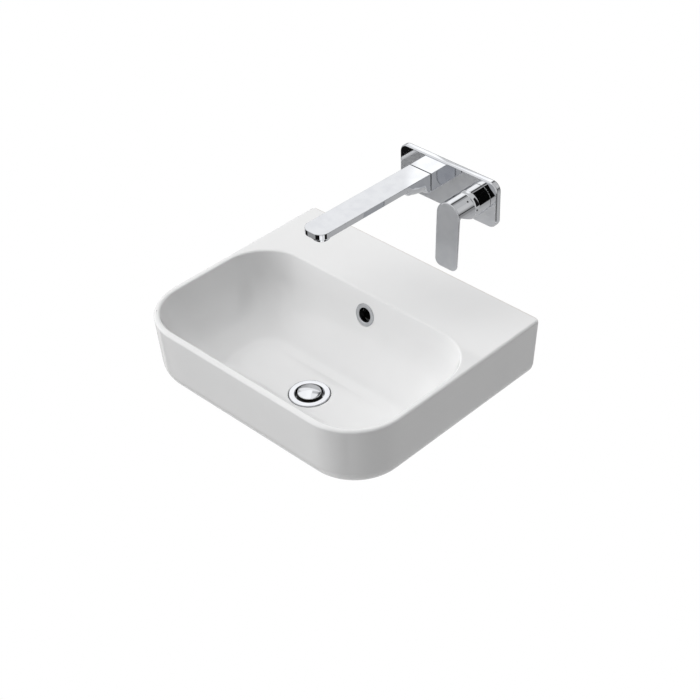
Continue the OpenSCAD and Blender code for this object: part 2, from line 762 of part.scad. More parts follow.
module spout_nut() {
  across = spout_h - 7;
  color("darkgoldenrod") from_wall(spout_x, spout_z) difference() {
    translate([0, 0, pocket_s - spout_nut_t]) cylinder(r = across / 2 / cos(30), h = spout_nut_t, $fn = 6);
    cylinder(r = nipple_r + fit_gap, h = plate_s);
  }
}

module spout_root() {
  color("silver") from_wall(spout_x, spout_z) difference() {
    translate([-spout_w / 2, -spout_h / 2, plate_s]) cube([spout_w, spout_h, spout_seam - plate_s]);
    translate([0, 0, plate_s - 1]) cylinder(r = nipple_r + fit_gap, h = spout_bore_s - plate_s + 1);
    // Socket for the arm's plug end
    translate([0, 0, spout_bore_s - eps]) cylinder(r = nipple_r + 2 + fit_gap, h = spout_seam);
  }
}

plug_end = spout_bore_s + 1;

// Ring in the seam between root block and arm
module spout_seal() {
  color("black") from_wall(spout_x, spout_z) translate([0, 0, spout_seam]) linear_extrude(height = seam_gap)
    difference() {
      square([spout_w - 1.6, spout_h - 1.6], center = true);
      circle(r = nipple_r + 2 + loose_gap);
    }
}

arm_s = spout_seam + seam_gap;
belly_end = arm_s + belly_flat + belly_rise;

// The arm drifts off to the left by this angle
drift_a = atan(spout_drift / (spout_reach - arm_s));
tip_s = spout_reach - aerator_back;

// Depth of the arm, the rounding of its lower edges, its half width and its centre, at a distance from the wall
function arm_depth(s) = let (u = max(0, min(1, (s - arm_s - belly_flat) / belly_rise)))
  arm_t + (spout_h - arm_t) * sqrt(1 - u * u);
function arm_round(s) = let (v = max(0, min(1, (s - arm_s - belly_flat + 3) / 9)))
  min(1 + (belly_r - 1) * v * v * (3 - 2 * v), arm_depth(s) - 2.4,
    1.2 + (belly_r - 1) * max(0, belly_end + 3 - s) / 18);
function arm_half(s) = let (q = max(0, s - spout_reach + tip_r))
  spout_w / 2 - tip_r + sqrt(max(0.04, tip_r * tip_r - q * q));
function arm_x(s) = spout_x - (s - arm_s) * tan(drift_a);
function arm_ring(s) = let (h = arm_half(s), d = arm_depth(s), r = max(0.6, arm_round(s)), e = 0.8) [
  for (p = concat(
    arc_pts([h - e, -e], e, 90, 0, 2), arc_pts([h - r, r - d], r, 0, -90, 7),
    arc_pts([r - h, r - d], r, -90, -180, 7), arc_pts([e - h, -e], e, 180, 90, 2)
  )) [arm_x(s) + p[0], -s, spout_top + p[1]]
];

module spout_arm() {
  stations = concat(
    [arm_s, arm_s + belly_flat - 3, arm_s + belly_flat, arm_s + belly_flat + 3, arm_s + belly_flat + 7],
    [for (u = [0.3, 0.45, 0.6, 0.72, 0.82, 0.9, 0.96, 1]) arm_s + belly_flat + belly_rise * u],
    [belly_end + 4, spout_reach - 60],
    [for (a = [0:15:90]) spout_reach - tip_r + tip_r * sin(a)]
  );
  color("silver") difference() {
    union() {
      loft([for (s = stations) arm_ring(s)]);
      from_wall(spout_x, spout_z) translate([0, 0, plug_end])
        cylinder(r = nipple_r + 2, h = arm_s - plug_end + 1);
    }
    // Waterway from the plug end along the arm to the aerator
    from_wall(spout_x, spout_z) translate([0, 0, plug_end - 1]) cylinder(r = nipple_r - 2, h = belly_flat + 10);
    translate([spout_x, -arm_s, spout_top - arm_t / 2 - channel_h / 2]) rotate([0, 0, -drift_a])
      translate([-channel_w / 2, arm_s - tip_s, 0]) cube([channel_w, tip_s - arm_s - channel_wall, channel_h]);
    translate([spout_x - (nipple_r - 2), -(plug_end + belly_flat + 9), spout_z])
      cube([2 * nipple_r - 4, 8, spout_top - arm_t / 2 - spout_z]);
    translate([arm_x(tip_s), -tip_s, spout_top - arm_t - 1]) cylinder(r = aerator_r - 1, h = arm_t / 2 + 1);
    // Tapped hole for the grub screw that holds the arm
    translate([spout_x, -(arm_s + 6), spout_z - spout_h / 2 - 1]) cylinder(r = 2 + fit_gap, h = 7);
  }
}

module spout_grub_screw() {
  color("gray") translate([spout_x, -(arm_s + 6), spout_z - spout_h / 2 + 0.6]) difference() {
    cylinder(r = 2, h = 4.6);
    translate([0, 0, -1]) cylinder(r = 1.1, h = 3, $fn = 6);
  }
}

// Ring that screws into the underside of the arm's tip
module aerator_ring() {
  color("silver") translate([arm_x(tip_s), -tip_s, spout_top - arm_t]) {
    tube(aerator_r - 1 - fit_gap, aerator_r - 2.6, 0, arm_t / 2 - 1);
    tube(aerator_r, aerator_r - 2.6, -aerator_drop, 0);
  }
}

module aerator_insert() {
  color("whitesmoke") translate([arm_x(tip_s), -tip_s, spout_top - arm_t]) difference() {
    translate([0, 0, -aerator_drop + 1]) cylinder(r = aerator_r - 2.6 - fit_gap, h = aerator_drop + arm_t / 2 - 2);
    for (a = [0:60:300]) {
      rotate([0, 0, a]) translate([4.6, 0, -aerator_drop]) cylinder(r = 1.2, h = aerator_drop + arm_t);
    }
    translate([0, 0, -aerator_drop]) cylinder(r = 1.4, h = aerator_drop + arm_t);
  }
}

sleeve_in = neck_out + fit_gap;

module mixer_collar() {
  color("silver") from_wall(mixer_x, mixer_z) tube(mixer_r, sleeve_in, plate_s, collar_end - 0.3);
}

// Cover over the cartridge's neck, with a rounded front that the lever's hub tilts over
module mixer_sleeve() {
  tail_s = sleeve_end - nose_l;
  nose = [for (k = [0:8]) let (a = 90 * k / 8)
    [nose_r + (mixer_r - nose_r) * cos(a), tail_s + nose_l * sin(a)]];
  color("silver") from_wall(mixer_x, mixer_z) rotate_extrude() polygon(concat(
    [[sleeve_in, collar_end]], [[mixer_r, collar_end]], nose,
    [[nose_hole_r, sleeve_end], [nose_hole_r, sleeve_end - 1.6], [nose_r - 1, sleeve_end - 1.6],
     [sleeve_in - 1.4, tail_s + 1.2], [sleeve_in, tail_s - 1.5]]
  ));
}

body_end = sleeve_end - 8;
disc_s = cartridge_start + 12;
carrier_s = disc_s + 2 * disc_t + loose_gap + 0.1;
carrier_end = body_end + 1;

module cartridge_body() {
  color("whitesmoke") from_wall(mixer_x, mixer_z) difference() {
    union() {
      translate([0, 0, cartridge_start]) cylinder(r = cartridge_r, h = neck_end - 5 - cartridge_start);
      translate([0, 0, neck_end - 5 - eps]) cylinder(r = cartridge_r - 2.5, h = body_end - neck_end + 5 + eps);
    }
    translate([0, 0, disc_s]) cylinder(r = carrier_r + fit_gap, h = 60);
    // Hot, cold and mixed water ports
    for (a = [90, 210, 330]) {
      rotate([0, 0, a]) translate([port_c, 0, cartridge_start - 1]) cylinder(r = port_r, h = 20);
    }
  }
}

module cartridge_nut() {
  color("darkgoldenrod") from_wall(mixer_x, mixer_z)
    tube(neck_in - fit_gap, cartridge_r - 2.5 + fit_gap, neck_end - 5, neck_end + 1.5);
}

module fixed_disc() {
  color("ivory") from_wall(mixer_x, mixer_z) translate([0, 0, disc_s]) difference() {
    cylinder(r = carrier_r - 0.2, h = disc_t);
    for (a = [90, 210, 330]) {
      rotate([0, 0, a]) translate([port_c, 0, -1]) cylinder(r = port_r - 0.2, h = disc_t + 2);
    }
  }
}

module moving_disc() {
  color("ivory") from_wall(mixer_x, mixer_z) translate([0, 0, disc_s + disc_t + loose_gap]) difference() {
    cylinder(r = carrier_r - loose_gap, h = disc_t);
    translate([0, 0, -1]) cylinder(r = 5, h = 2.5);
  }
}

// Round carrier that turns in the cartridge, with a slot for the tilting spindle
module cartridge_carrier() {
  slot_w = spindle_w + 2 * loose_gap;
  color("gray") from_wall(mixer_x, mixer_z) difference() {
    translate([0, 0, carrier_s]) cylinder(r = carrier_r, h = carrier_end - carrier_s);
    translate([-slot_w / 2, -carrier_r - 1, carrier_s + 5]) cube([slot_w, 2 * carrier_r + 2, 60]);
    translate([-carrier_r - 1, 0, pivot_s]) rotate([0, 90, 0])
      cylinder(r = pin_r + fit_gap, h = 2 * carrier_r + 2);
  }
}

module tilt_pin() {
  color("lightgray") from_wall(mixer_x, mixer_z) translate([-carrier_r + 0.4, 0, pivot_s])
    rotate([0, 90, 0]) cylinder(r = pin_r, h = 2 * carrier_r - 0.8);
}

hub_s = sleeve_end + hub_gap;
blade_back = hub_end - blade_t;
blade_inset = 0.3;
spindle_end = hub_s + socket_l - 0.6;
spindle_h = 7;

module spindle() {
  color("lightgray") from_wall(mixer_x, mixer_z) difference() {
    translate([-spindle_w / 2, -spindle_h / 2, pivot_s - 5]) cube([spindle_w, spindle_h, spindle_end - pivot_s + 5]);
    translate([-spindle_w, 0, pivot_s]) rotate([0, 90, 0]) cylinder(r = pin_r + fit_gap, h = 2 * spindle_w);
  }
}

// Outline of the blade below the hub: nearly straight sides and two round lower corners
module blade_outline() {
  c = [blade_w / 2 - blade_r, -blade_l + blade_r];
  top_r = mixer_r - blade_inset;
  side_a = atan2(c[1], c[0]) + acos((top_r - blade_r) / norm(c));
  n = [cos(side_a), sin(side_a)];
  half = [top_r * n, c + blade_r * n, [c[0], -blade_l]];
  polygon(concat(half, [for (k = [2:-1:0]) [-half[k][0], half[k][1]]]));
  for (side = [-1, 1]) {
    translate([side * c[0], c[1]]) circle(r = blade_r);
  }
}

// Local +Z runs out of the hub along the grub screw
module at_hub_screw() {
  translate([0, 0, hub_s + hub_screw_s]) rotate([0, 0, hub_screw_a]) rotate([0, 90, 0]) children();
}

rise_a = atan(hub_rise / (blade_back - hub_s));

// Space below the hub's rising underside, raised by lift
module below_hub(lift) {
  over = 3 * mixer_r;
  translate([0, lift - hub_foot, hub_s]) rotate([-rise_a, 0, 0]) translate([-over / 2, -over, -over / 4])
    cube([over, over, 2 * over]);
}

// Half space in front of the blade's leaning plane, moved back by depth
module before_blade(depth) {
  over = 4 * blade_l;
  translate([0, 0, hub_end]) rotate([-blade_lean, 0, 0]) translate([-over / 2, -over / 2, -depth])
    cube([over, over, over / 2]);
}

module lever_handle() {
  socket_w = spindle_w + 2 * fit_gap;
  socket_h = spindle_h + 2 * fit_gap;
  color("silver") from_wall(mixer_x, mixer_z) difference() {
    union() {
      difference() {
        translate([0, 0, hub_s]) cylinder(r = mixer_r, h = hub_end - hub_s + 3);
        difference() {
          below_hub(0);
          before_blade(blade_t);
        }
      }
      intersection() {
        translate([0, 0, hub_s]) linear_extrude(height = hub_end - hub_s + 20) blade_outline();
        before_blade(blade_t);
      }
    }
    before_blade(0);
    // Recess that clears the sleeve's rounded front
    difference() {
      translate([0, 0, hub_s - eps]) cylinder(r1 = mixer_r - 2, r2 = hub_hollow_r, h = hub_hollow + eps);
      below_hub(3);
    }
    translate([-socket_w / 2, -socket_h / 2, hub_s]) cube([socket_w, socket_h, socket_l]);
    at_hub_screw() cylinder(r = hub_screw_r + fit_gap, h = 40);
  }
}

module lever_screw() {
  screw_in = norm([spindle_w, spindle_h]) / 2 + 0.3;
  screw_out = mixer_r - 1.2;
  color("dimgray") from_wall(mixer_x, mixer_z) at_hub_screw() difference() {
    translate([0, 0, screw_in]) cylinder(r = hub_screw_r, h = screw_out - screw_in);
    translate([0, 0, screw_out - 2]) cylinder(r = hub_screw_r * 0.55, h = 3, $fn = 6);
  }
}

basin_body();
basin_back();
overflow_ring();
overflow_sleeve();
waste_flange();
waste_top_seal();
waste_tail();
waste_cone_seal();
waste_nut();
plug_dome();
plug_seal();
plug_stem();
click_cartridge();
wall_bolts();
bolt_sleeves();
bolt_washers();
bolt_nuts();
mixer_body();
plate_gasket();
tap_plate();
spout_nipple();
spout_nut();
spout_root();
spout_seal();
spout_arm();
spout_grub_screw();
aerator_ring();
aerator_insert();
mixer_collar();
mixer_sleeve();
cartridge_body();
cartridge_nut();
fixed_disc();
moving_disc();
cartridge_carrier();
tilt_pin();
spindle();
lever_handle();
lever_screw();
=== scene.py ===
import math
import bmesh
import bpy
from mathutils import Matrix, Vector
from mathutils.bvhtree import BVHTree


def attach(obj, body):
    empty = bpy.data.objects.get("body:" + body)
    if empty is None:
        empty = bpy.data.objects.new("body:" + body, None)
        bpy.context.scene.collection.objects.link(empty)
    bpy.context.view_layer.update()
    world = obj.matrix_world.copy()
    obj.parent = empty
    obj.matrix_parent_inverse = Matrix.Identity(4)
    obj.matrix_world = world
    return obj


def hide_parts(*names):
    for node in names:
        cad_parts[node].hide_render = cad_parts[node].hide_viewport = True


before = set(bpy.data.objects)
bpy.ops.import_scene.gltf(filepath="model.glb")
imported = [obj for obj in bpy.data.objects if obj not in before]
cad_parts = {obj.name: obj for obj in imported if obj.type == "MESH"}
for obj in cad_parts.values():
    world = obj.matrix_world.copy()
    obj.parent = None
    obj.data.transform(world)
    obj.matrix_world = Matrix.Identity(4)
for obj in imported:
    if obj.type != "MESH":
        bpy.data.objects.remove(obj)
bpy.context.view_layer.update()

mm = 0.001
weldDistance = 1e-7  # metres


# drawing in millimetres

def cosD(angle):
    return math.cos(math.radians(angle))


def sinD(angle):
    return math.sin(math.radians(angle))


def tanD(angle):
    return math.tan(math.radians(angle))


def steps(first, last, count):
    return [first + (last - first) * k / count for k in range(count + 1)]


def arc(cx, cy, radius, start, end, count):
    return [(cx + radius * cosD(a), cy + radius * sinD(a)) for a in steps(start, end, count)]


def circle(radius, count):
    return [(radius * cosD(360 * j / count), radius * sinD(360 * j / count)) for j in range(count)]


def at(outline, z):
    return [(x, y, z) for x, y in outline]


def between(p, q, count):
    return [(p[0] + (q[0] - p[0]) * k / (count + 1), p[1] + (q[1] - p[1]) * k / (count + 1))
            for k in range(1, count + 1)]


def filleted(corners, count=5):
    # closed outline from (u, v, radius) corners
    outline = []
    for k, (u, v, radius) in enumerate(corners):
        here = Vector((u, v))
        back = (Vector(corners[k - 1][:2]) - here).normalized()
        ahead = (Vector(corners[(k + 1) % len(corners)][:2]) - here).normalized()
        if radius <= 0:
            outline.append((u, v))
            continue
        half = back.angle(ahead) / 2
        centre = here + (back + ahead).normalized() * radius / math.sin(half)
        start = here + back * radius / math.tan(half) - centre
        end = here + ahead * radius / math.tan(half) - centre
        sweep = math.atan2(start.x * end.y - start.y * end.x, start.dot(end))
        turn = math.atan2(start.y, start.x)
        outline += [(centre.x + radius * math.cos(turn + sweep * j / count),
                     centre.y + radius * math.sin(turn + sweep * j / count)) for j in range(count + 1)]
    return outline


def meshFrom(name, points, faces, place=None):
    mesh = bpy.data.meshes.new(name)
    place = place or Matrix.Identity(4)
    mesh.from_pydata([place @ (Vector(p) * mm) for p in points], [], faces)
    tidy = bmesh.new()
    tidy.from_mesh(mesh)
    bmesh.ops.remove_doubles(tidy, verts=tidy.verts, dist=weldDistance)
    bmesh.ops.recalc_face_normals(tidy, faces=tidy.faces)
    tidy.to_mesh(mesh)
    tidy.free()
    return mesh


def skinFaces(rows, count):
    # four-sided faces between rings that follow each other
    faces = []
    for k in range(rows - 1):
        for j in range(count):
            here, beside = k * count + j, k * count + (j + 1) % count
            faces.append((here, beside, beside + count, here + count))
    return faces


def fanFaces(middle, start, count):
    # triangles between one point and a ring, by their numbers in the list of points
    return [(middle, start + j, start + (j + 1) % count) for j in range(count)]


def lofted(name, rings, ends="caps", place=None):
    # skin through rings of equal count; ends are closed with caps, or the last ring joins the first
    count, rows = len(rings[0]), len(rings)
    points = [p for ring in rings for p in ring]
    faces = skinFaces(rows, count)
    if ends == "loop":
        last = (rows - 1) * count
        faces += [(last + j, last + (j + 1) % count, (j + 1) % count, j) for j in range(count)]
    else:
        for row in (0, rows - 1):
            middle = sum((Vector(p) for p in rings[row]), Vector()) / count
            points.append(tuple(middle))
            faces += fanFaces(len(points) - 1, row * count, count)
    return meshFrom(name, points, faces, place)


def turned(name, outline, place, count=112):
    # closed outline of (radius, height), or one that starts and ends on the axis
    onAxis = abs(outline[0][0]) < 1e-6 and abs(outline[-1][0]) < 1e-6
    rows = outline[1:-1] if onAxis else outline
    rings = [at(circle(r, count), z) for r, z in rows]
    if not onAxis:
        return lofted(name, rings, "loop", place)
    points = [p for ring in rings for p in ring] + [(0, 0, outline[0][1]), (0, 0, outline[-1][1])]
    faces = skinFaces(len(rings), count) + fanFaces(len(points) - 2, 0, count)
    faces += fanFaces(len(points) - 1, (len(rings) - 1) * count, count)
    return meshFrom(name, points, faces, place)


def prism(name, outline, place, low, high):
    # outline in the local X and Y, drawn out along the local Z
    count = len(outline)
    faces = skinFaces(2, count) + [tuple(range(count)), tuple(range(count, 2 * count))]
    return meshFrom(name, at(outline, low) + at(outline, high), faces, place)


def drum(name, radius, low, high, place, count=96):
    return prism(name, circle(radius, count), place, low, high)


def shifted(x, y, z):
    return Matrix.Translation(Vector((x, y, z)) * mm)


def fromWall(x, z):
    # local Z points away from the wall
    return shifted(x, 0, z) @ Matrix.Rotation(math.radians(90), 4, "X")


# for an outline in Y and Z that is drawn out along X
acrossX = Matrix(((0, 0, 1, 0), (1, 0, 0, 0), (0, 1, 0, 0), (0, 0, 0, 1)))


def linked(name, data):
    thing = bpy.data.objects.new(name, data)
    bpy.context.scene.collection.objects.link(thing)
    return thing


def smoothed(mesh, angle):
    for polygon in mesh.polygons:
        polygon.use_smooth = True
    mesh.set_sharp_from_angle(angle=math.radians(angle))


def weighted(piece):
    modifier = piece.modifiers.new("weightedNormals", "WEIGHTED_NORMAL")
    modifier.mode = "FACE_AREA"
    modifier.keep_sharp = True


def shaped(piece):
    return piece.evaluated_get(bpy.context.evaluated_depsgraph_get())


# edges that turn more than this stay sharp, in degrees
sharpAngle = 34
tapSharpAngle = 30
# where a cut face takes the clean skin's normals: the gap in metres, how well the directions agree, and how
# far a corner is drawn in
skinMatch = {"gap": 2e-4, "face": 0.96, "corner": 0.9, "drawnIn": 0.03}


def cutsOf(*meshes):
    return [("DIFFERENCE", mesh) for mesh in meshes]


def carved(mesh, tools, angle=sharpAngle):
    # cuts or joins tool meshes, then gives back the clean skin's normals around each cut
    smoothed(mesh, angle)
    clean = linked("clean", mesh)
    weighted(clean)
    result = linked("result", mesh.copy())
    helpers = []
    for operation, toolMesh in tools:
        tool = linked("tool", toolMesh)
        modifier = result.modifiers.new(operation, "BOOLEAN")
        modifier.operation = operation
        modifier.solver = "EXACT"
        modifier.object = tool
        helpers.append(tool)
    cut = bpy.data.meshes.new_from_object(shaped(result))
    smoothed(cut, angle)
    skin = bpy.data.meshes.new_from_object(shaped(clean))
    skin.calc_loop_triangles()
    places = [v.co.copy() for v in skin.vertices]
    triangles = [tuple(t.vertices) for t in skin.loop_triangles]
    corners = [tuple(t.loops) for t in skin.loop_triangles]
    skinNormals = [Vector(n.vector) for n in skin.corner_normals]
    tree = BVHTree.FromPolygons(places, triangles)
    normals = [Vector(n.vector) for n in cut.corner_normals]
    for polygon in cut.polygons:
        facing, found, gap = tree.find_nearest(polygon.center)[1:]
        if found is None or gap > skinMatch["gap"] or abs(facing.dot(polygon.normal)) < skinMatch["face"]:
            continue
        taken = []
        for loop in polygon.loop_indices:
            corner = cut.vertices[cut.loops[loop].vertex_index].co
            facing, found, gap = tree.find_nearest(corner.lerp(polygon.center, skinMatch["drawnIn"]))[1:]
            if gap > skinMatch["gap"] or abs(facing.dot(polygon.normal)) < skinMatch["corner"]:
                taken = []
                break
            a, b, c = (places[k] for k in triangles[found])
            area = (b - a).cross(c - a)
            size = area.length_squared or 1.0
            u = (c - b).cross(corner - b).dot(area) / size
            v = (a - c).cross(corner - c).dot(area) / size
            mixed = [max(0.0, min(1.0, share)) for share in (u, v, 1 - u - v)]
            normal = sum((skinNormals[k] * share for k, share in zip(corners[found], mixed)), Vector())
            taken.append((loop, normal.normalized()))
        for loop, normal in taken:
            normals[loop] = normal
    cut.normals_split_custom_set([tuple(n) for n in normals])
    for helper in helpers + [clean, result]:
        bpy.data.objects.remove(helper)
    cut.materials.clear()
    return cut


# materials

class Wire:
    # an output socket that can stand in sums
    def __init__(self, graph, socket):
        self.graph = graph
        self.socket = socket

    def __add__(self, other):
        return self.graph.maths("ADD", self, other)

    def __radd__(self, other):
        return self.graph.maths("ADD", other, self)

    def __sub__(self, other):
        return self.graph.maths("SUBTRACT", self, other)

    def __rsub__(self, other):
        return self.graph.maths("SUBTRACT", other, self)

    def __mul__(self, other):
        return self.graph.maths("MULTIPLY", self, other)

    def __rmul__(self, other):
        return self.graph.maths("MULTIPLY", other, self)


class Graph:
    def __init__(self, tree):
        self.tree = tree
        tree.nodes.clear()

    def add(self, kind, settings=None, sockets=None, out=0):
        node = self.tree.nodes.new(kind)
        for key, value in (settings or {}).items():
            setattr(node, key, value)
        for key, value in (sockets or {}).items():
            if isinstance(value, Wire):
                self.tree.links.new(value.socket, node.inputs[key])
            else:
                node.inputs[key].default_value = value
        return Wire(self, node.outputs[out]) if node.outputs else node

    def maths(self, operation, *values):
        return self.add("ShaderNodeMath", {"operation": operation}, dict(enumerate(values)))

    def place(self):
        return self.add("ShaderNodeTexCoord", out="Object")

    def split(self, vector):
        first = self.add("ShaderNodeSeparateXYZ", {}, {0: vector})
        return [Wire(self, socket) for socket in first.socket.node.outputs]

    def smooth(self, value, low, high, start=0.0, end=1.0):
        return self.add("ShaderNodeMapRange", {"interpolation_type": "SMOOTHSTEP"},
                        {"Value": value, "From Min": low, "From Max": high, "To Min": start, "To Max": end})

    def band(self, value, low, lowFull, highFull, high):
        # 1 between the two full values, eased to 0 outside low and high
        return self.smooth(value, low, lowFull) * self.smooth(value, highFull, high, 1.0, 0.0)

    def blend(self, share, first, second):
        return self.add("ShaderNodeMix", {"data_type": "RGBA"}, {0: share, 6: first, 7: second}, 2)

    def noise(self, place, scale, detail, roughness=0.5):
        return self.add("ShaderNodeTexNoise", {},
                        {"Vector": place, "Scale": scale, "Detail": detail, "Roughness": roughness}, "Fac")

    def bump(self, height, distance):
        return self.add("ShaderNodeBump", {}, {"Height": height, "Distance": distance, "Strength": 1.0})

    def principled(self, sockets):
        surface = self.add("ShaderNodeBsdfPrincipled", {}, sockets)
        self.add("ShaderNodeOutputMaterial", {}, {"Surface": surface})


def newMaterial(name):
    material = bpy.data.materials.new(name)
    material.use_nodes = True
    return material, Graph(material.node_tree)


def rgb(grey, warm=0.0):
    return (grey * (1 + warm), grey, grey * (1 - warm), 1.0)


glazeLook = {"light": 0.868, "deep": 0.848, "warm": -0.001, "cloudScale": 7.0, "cloud": (0.3, 0.7),
             "bisque": 0.66, "bisqueWarm": 0.05, "bare": (-0.0010, -0.0004), "raggedScale": 130.0,
             "ragged": 0.0012, "gloss": 0.055, "flowScale": 26.0, "flow": 0.03, "bareGloss": 0.6,
             "bump": 0.00003, "peelScale": 210.0, "peel": 0.55, "waveScale": 38.0, "wave": 2.2,
             "gritScale": 2600.0, "grit": 3.0}
# painted shade in the overflow's duct behind its hole, a dark colour that stands in for its depth: where it
# starts, is full, starts to fade and ends, in metres
ductPaintedShade = {"grey": 0.02, "y": (-0.1310, -0.1295, -0.1105, -0.1095), "z": (0.0, 0.002, 0.037, 0.039),
             "half": (0.0143, 0.0150)}


def makeGlaze():
    material, g = newMaterial("glaze")
    look = glazeLook
    place = g.place()
    x, y, z = g.split(place)
    cloud = g.smooth(g.noise(place, look["cloudScale"], 3.0), *look["cloud"])
    tone = g.blend(cloud, rgb(look["deep"], look["warm"]), rgb(look["light"], look["warm"]))
    # the duct behind the overflow hole is painted near black, as painted shade
    duct = g.band(y, *ductPaintedShade["y"]) * g.band(z, *ductPaintedShade["z"])
    duct = duct * g.smooth(g.maths("ABSOLUTE", x), *ductPaintedShade["half"], 1.0, 0.0)
    tone = g.blend(duct, tone, rgb(ductPaintedShade["grey"]))
    # the face against the wall is wiped free of glaze
    ragged = g.noise(place, look["raggedScale"], 3.0)
    bare = g.smooth(y + ragged * look["ragged"], *look["bare"])
    colour = g.blend(bare, tone, rgb(look["bisque"], look["bisqueWarm"]))
    gloss = look["gloss"] + g.noise(place, look["flowScale"], 1.0) * look["flow"] + bare * look["bareGloss"]
    peel = g.noise(place, look["peelScale"], 2.0) * look["peel"]
    wave = g.noise(place, look["waveScale"], 1.0) * look["wave"]
    grit = g.noise(place, look["gritScale"], 2.0) * bare * look["grit"]
    g.principled({"Base Color": colour, "Roughness": gloss, "IOR": 1.52,
                  "Normal": g.bump(peel + wave + grit, look["bump"])})
    return material


chromeLook = {"bright": (0.615, 0.625, 0.645, 1.0), "film": (0.575, 0.585, 0.610, 1.0), "filmScale": 55.0,
              "filmSpan": (0.35, 0.75), "wipeScale": 240.0, "wipe": 0.9, "swirlScale": 34.0}


def makeChrome(name, gloss, swirl):
    material, g = newMaterial(name)
    look = chromeLook
    place = g.place()
    film = g.smooth(g.noise(place, look["filmScale"], 3.0), *look["filmSpan"])
    wipe = g.noise(place, look["wipeScale"], 4.0, 0.6)
    g.principled({"Base Color": g.blend(film, look["bright"], look["film"]), "Metallic": 1.0,
                  "Roughness": gloss + wipe * gloss * look["wipe"],
                  "Normal": g.bump(g.noise(place, look["swirlScale"], 1.0), swirl)})
    return material


# one patchy noise shifts the tone and the gloss, and a fine grain gives the bump
rubberLook = {"first": rgb(0.012), "second": rgb(0.030), "metallic": 0.0,
              "patchScale": 160.0, "patchDetail": 4.0, "span": (0.4, 0.8), "gloss": 0.52, "uneven": 0.2,
              "grainScale": 2400.0, "grainDetail": 2.0, "grain": 0.00003}
brassLook = {"first": (0.72, 0.50, 0.22, 1.0), "second": (0.46, 0.29, 0.12, 1.0), "metallic": 1.0,
             "patchScale": 42.0, "patchDetail": 5.0, "span": (0.42, 0.72), "gloss": 0.26, "uneven": 0.22,
             "grainScale": 900.0, "grainDetail": 3.0, "grain": 0.00005}
steelLook = {"first": (0.60, 0.60, 0.59, 1.0), "second": (0.42, 0.42, 0.43, 1.0), "metallic": 1.0,
             "patchScale": 210.0, "patchDetail": 4.0, "span": (0.38, 0.7), "gloss": 0.30, "uneven": 0.15,
             "grainScale": 1500.0, "grainDetail": 2.0, "grain": 0.00002}


def darker(colour, share):
    return tuple(v * share for v in colour[:3]) + (1.0,)


def makePatchy(name, look, share=1.0):
    material, g = newMaterial(name)
    place = g.place()
    patch = g.noise(place, look["patchScale"], look["patchDetail"], 0.6)
    grain = g.noise(place, look["grainScale"], look["grainDetail"])
    first, second = darker(look["first"], share), darker(look["second"], share)
    g.principled({"Base Color": g.blend(g.smooth(patch, *look["span"]), first, second),
                  "Metallic": look["metallic"], "Roughness": look["gloss"] + patch * look["uneven"],
                  "Normal": g.bump(grain, look["grain"])})
    return material


# the root share darkens each groove's colour, as painted shade
threadLook = {"root": 0.55, "rootEnd": 0.7, "gloss": 0.24, "patchScale": 210.0, "uneven": 0.16,
              "height": 0.35}


def makeThread(name, crest, pitch, axis):
    # fine thread on a turned part, as ridges along one axis, with painted shade darkening the roots
    material, g = newMaterial(name)
    look = threadLook
    place = g.place()
    ridge = g.maths("PINGPONG", g.split(place)[axis], pitch / 2) * (2.0 / pitch)
    # darker in the roots, as painted shade in the grooves
    tone = g.blend(g.smooth(ridge, 0.0, look["rootEnd"]), darker(crest, look["root"]), crest)
    patch = g.noise(place, look["patchScale"], 4.0, 0.6)
    g.principled({"Base Color": tone, "Metallic": 1.0, "Roughness": look["gloss"] + patch * look["uneven"],
                  "Normal": g.bump(ridge, pitch * look["height"])})
    return material


plasticLook = {"warm": 0.01, "cloudScale": 70.0, "uneven": 0.08, "grainScale": 1300.0, "grain": 0.00002}


def makePlastic(name, light, dark, gloss):
    material, g = newMaterial(name)
    look = plasticLook
    place = g.place()
    cloud = g.noise(place, look["cloudScale"], 2.0)
    g.principled({"Base Color": g.blend(cloud, rgb(dark, look["warm"]), rgb(light, look["warm"])),
                  "Roughness": gloss + cloud * look["uneven"],
                  "Normal": g.bump(g.noise(place, look["grainScale"], 2.0), look["grain"])})
    return material


glaze = makeGlaze()
chrome = makeChrome("chrome", 0.018, 0.00001)
satinChrome = makeChrome("satinChrome", 0.10, 0.00002)
rubber = makePatchy("rubber", rubberLook)
brass = makePatchy("brass", brassLook)
steel = makePatchy("steel", steelLook)
darkSteel = makePatchy("darkSteel", steelLook, 0.35)
boltThread = makeThread("boltThread", (0.60, 0.60, 0.59, 1.0), 0.0015, 1)
tailThread = makeThread("tailThread", (0.60, 0.61, 0.63, 1.0), 0.0018, 2)
whitePlastic = makePlastic("whitePlastic", 0.80, 0.74, 0.34)
greyPlastic = makePlastic("greyPlastic", 0.11, 0.085, 0.42)
discCeramic = makePlastic("discCeramic", 0.78, 0.70, 0.14)
print("materials made")


def addPiece(name, mesh, body, material, replaced, angle=sharpAngle, keepNormals=False):
    piece = linked(name, mesh)
    mesh.materials.clear()
    mesh.materials.append(material)
    if not keepNormals:
        smoothed(mesh, angle)
        weighted(piece)
    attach(piece, body)
    if replaced:
        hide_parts(*replaced)


# basin

